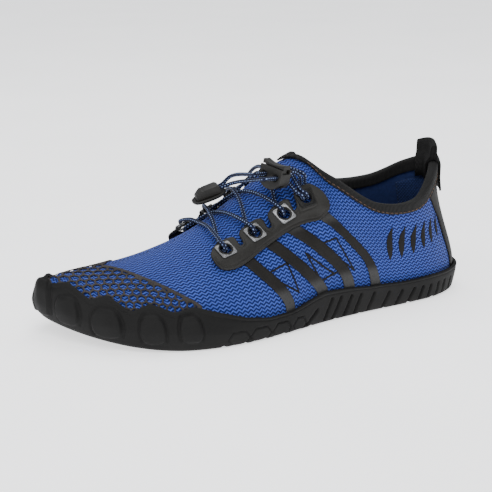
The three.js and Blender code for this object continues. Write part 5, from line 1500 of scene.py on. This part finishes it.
WIRE_R, COIL_R, COIL_TURNS, WIRE_SIDES, COIL_STEPS = 0.25, 1.2, 4, 10, 128
COIL_LOW, COIL_HIGH = POCKET_FLOOR + FIT + WIRE_R, WINDOW_TOP - FIT - WIRE_R
points = []
for i in range(COIL_STEPS + 1):
    a = math.tau * COIL_TURNS * i / COIL_STEPS
    out = np.array([math.cos(a), math.sin(a), 0.0])
    rise = (COIL_HIGH - COIL_LOW) * i / COIL_STEPS
    for r in range(WIRE_SIDES):
        b = math.tau * r / WIRE_SIDES
        x, y, z = out * (COIL_R + WIRE_R * math.cos(b)) + [0, 0, COIL_LOW + rise + WIRE_R * math.sin(b)]
        points.append(placed(lock_frame, x, y, z))
faces = [(i * WIRE_SIDES + r, i * WIRE_SIDES + (r + 1) % WIRE_SIDES,
          (i + 1) * WIRE_SIDES + (r + 1) % WIRE_SIDES, (i + 1) * WIRE_SIDES + r)
         for i in range(COIL_STEPS) for r in range(WIRE_SIDES)]
faces += [tuple(range(WIRE_SIDES)), tuple(COIL_STEPS * WIRE_SIDES + r for r in range(WIRE_SIDES))]
spring = piece("lock_spring", points, faces, finish_of("spring_steel", steel_paint, Metallic=1.0), "lock")
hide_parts("cord_lock_spring")
tuple(placed(lock_frame, 0, 0, COIL_LOW) * 0.001)
1 - (PRESS + 0.1) / (COIL_HIGH - COIL_LOW)
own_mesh(spring)

# ---- End clip ----
# Two halves of black plastic snap together over the cord ends: an oval dish with a rolled
# rim, and a ramped block with a raised pad, so that the ends can be pulled and do not fray.
CLIP_X, CLIP_Y = CLIP_LENGTH / 2, CLIP_WIDTH / 2
COVER_LENGTH, COVER_WIDTH = CLIP_LENGTH - 7, CLIP_WIDTH - 4.4
COVER_TOP = FIT + LACE + 2.4
CLIP_PITCH, SEAT = LACE + 1.2, 6.0
SEAT_Z = FIT + 0.9 + LACE_R
ROUNDS = 72


def clip_ring(scale_x, scale_y, z):
    return [(CLIP_X * scale_x * math.copysign(abs(math.cos(a)) ** 0.8, math.cos(a)),
             CLIP_Y * scale_y * math.copysign(abs(math.sin(a)) ** 0.8, math.sin(a)), z)
            for a in (math.tau * i / ROUNDS for i in range(ROUNDS))]


dish = [(0.0, 0.0, -2.6), (0.45, 0.42, -2.6), (0.80, 0.76, -2.55), (0.90, 0.87, -2.3), (0.955, 0.94, -1.8),
        (0.985, 0.98, -1.3), (1.0, 1.0, -0.9), (1.0, 1.0, -0.55), (0.99, 0.985, -0.25), (0.965, 0.955, -0.05),
        (0.94, 0.915, 0.0), (0.915, 0.88, -0.05), (0.895, 0.855, -0.25), (0.88, 0.83, -0.5),
        (0.86, 0.80, -0.6), (0.5, 0.45, -0.6), (0.0, 0.0, -0.6)]
points, faces = [(0, 0, dish[0][2])], []
for scale_x, scale_y, z in dish[1:-1]:
    points += clip_ring(scale_x, scale_y, z)
points.append((0, 0, dish[-1][2]))
for i in range(ROUNDS):
    faces.append((0, 1 + i, 1 + (i + 1) % ROUNDS))
    for m in range(len(dish) - 3):
        a, b = 1 + m * ROUNDS, 1 + (m + 1) * ROUNDS
        faces.append((a + i, a + (i + 1) % ROUNDS, b + (i + 1) % ROUNDS, b + i))
    last = 1 + (len(dish) - 3) * ROUNDS
    faces.append((last + i, last + (i + 1) % ROUNDS, len(points) - 1))
points = np.array([placed(clip_frame, *p) for p in points])
clip_base = piece("clip_dish", points, faces, lock_finish)
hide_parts("end_clip_base")

cover_side = [(-COVER_LENGTH / 2, -0.35), (COVER_LENGTH / 2 + 0.6, -0.35),
              (COVER_LENGTH / 2 + 0.6, FIT + 1.6), (COVER_LENGTH / 2 - 0.2, FIT + 2.6),
              (COVER_LENGTH / 2 - 3.2, COVER_TOP - 0.1),
              (-COVER_LENGTH / 2 + 1.6, COVER_TOP), (-COVER_LENGTH / 2, COVER_TOP - 1.3)]


def pinch(x, y, z):
    """The block narrows toward its tip and its top."""
    tip = smooth((x - 1.0) / 7.5)
    return x, y * (1 - 0.20 * tip - 0.07 * max(0.0, z) / COVER_TOP), z


cord_holes = [(disc(y, SEAT_Z, LACE_R + 0.3), -COVER_LENGTH, -COVER_LENGTH / 2 + SEAT, "x")
              for y in (-CLIP_PITCH / 2, CLIP_PITCH / 2)]
dark_step = [([(COVER_LENGTH / 2 - 5.0, COVER_TOP - 0.35), (COVER_LENGTH / 2 - 4.4, COVER_TOP - 0.35),
               (COVER_LENGTH / 2 - 4.4, COVER_TOP + 1), (COVER_LENGTH / 2 - 5.0, COVER_TOP + 1)], -8, 8, "y")]
clip_cover = moulded("clip_block", cover_side, -COVER_WIDTH / 2, COVER_WIDTH / 2, "y", clip_frame,
                     lock_finish, "shoe", 0.7, cord_holes + dark_step, pinch,
                     ["end_clip_cover"])

for tag, shift, side in (("a", -PAIR, -1), ("b", PAIR, 1)):
    y, q = side * CORD_PITCH / 2, side * CLIP_PITCH / 2
    route = [eye_point("lat", 3, shift + LEAVE_SKEW - 0.2, 6.95, BELOW + 0.15),
             eye_point("lat", 3, shift + LEAVE_SKEW - 1, 10.5, BELOW + 1.2),
             eye_point("lat", 3, shift + LEAVE_SKEW - 0.5, 13.5, BELOW + 6),
             placed(lock_frame, -LOCK_DEPTH / 2 - 6, y, 3.2), placed(lock_frame, -LOCK_DEPTH / 2 - 2, y, 0),
             placed(lock_frame, -LOCK_DEPTH / 2, y, 0), placed(lock_frame, LOCK_DEPTH / 2, y, 0),
             placed(lock_frame, LOCK_DEPTH / 2 + LOCK_SLIDE, y, 0),
             placed(lock_frame, LOCK_DEPTH / 2 + LOCK_SLIDE + 1.7, y, 0),
             placed(clip_frame, -COVER_LENGTH / 2 - 9, q * 1.3, SEAT_Z + (0 if side > 0 else 2.6)),
             placed(clip_frame, -COVER_LENGTH / 2 - 2, q, SEAT_Z),
             placed(clip_frame, -COVER_LENGTH / 2 + SEAT - 1.2, q, SEAT_Z)]
    end, line, length = lace(f"lace_end_{tag}", route, f"lace_tail_{tag}")
    clip_base if tag == "a" else clip_cover
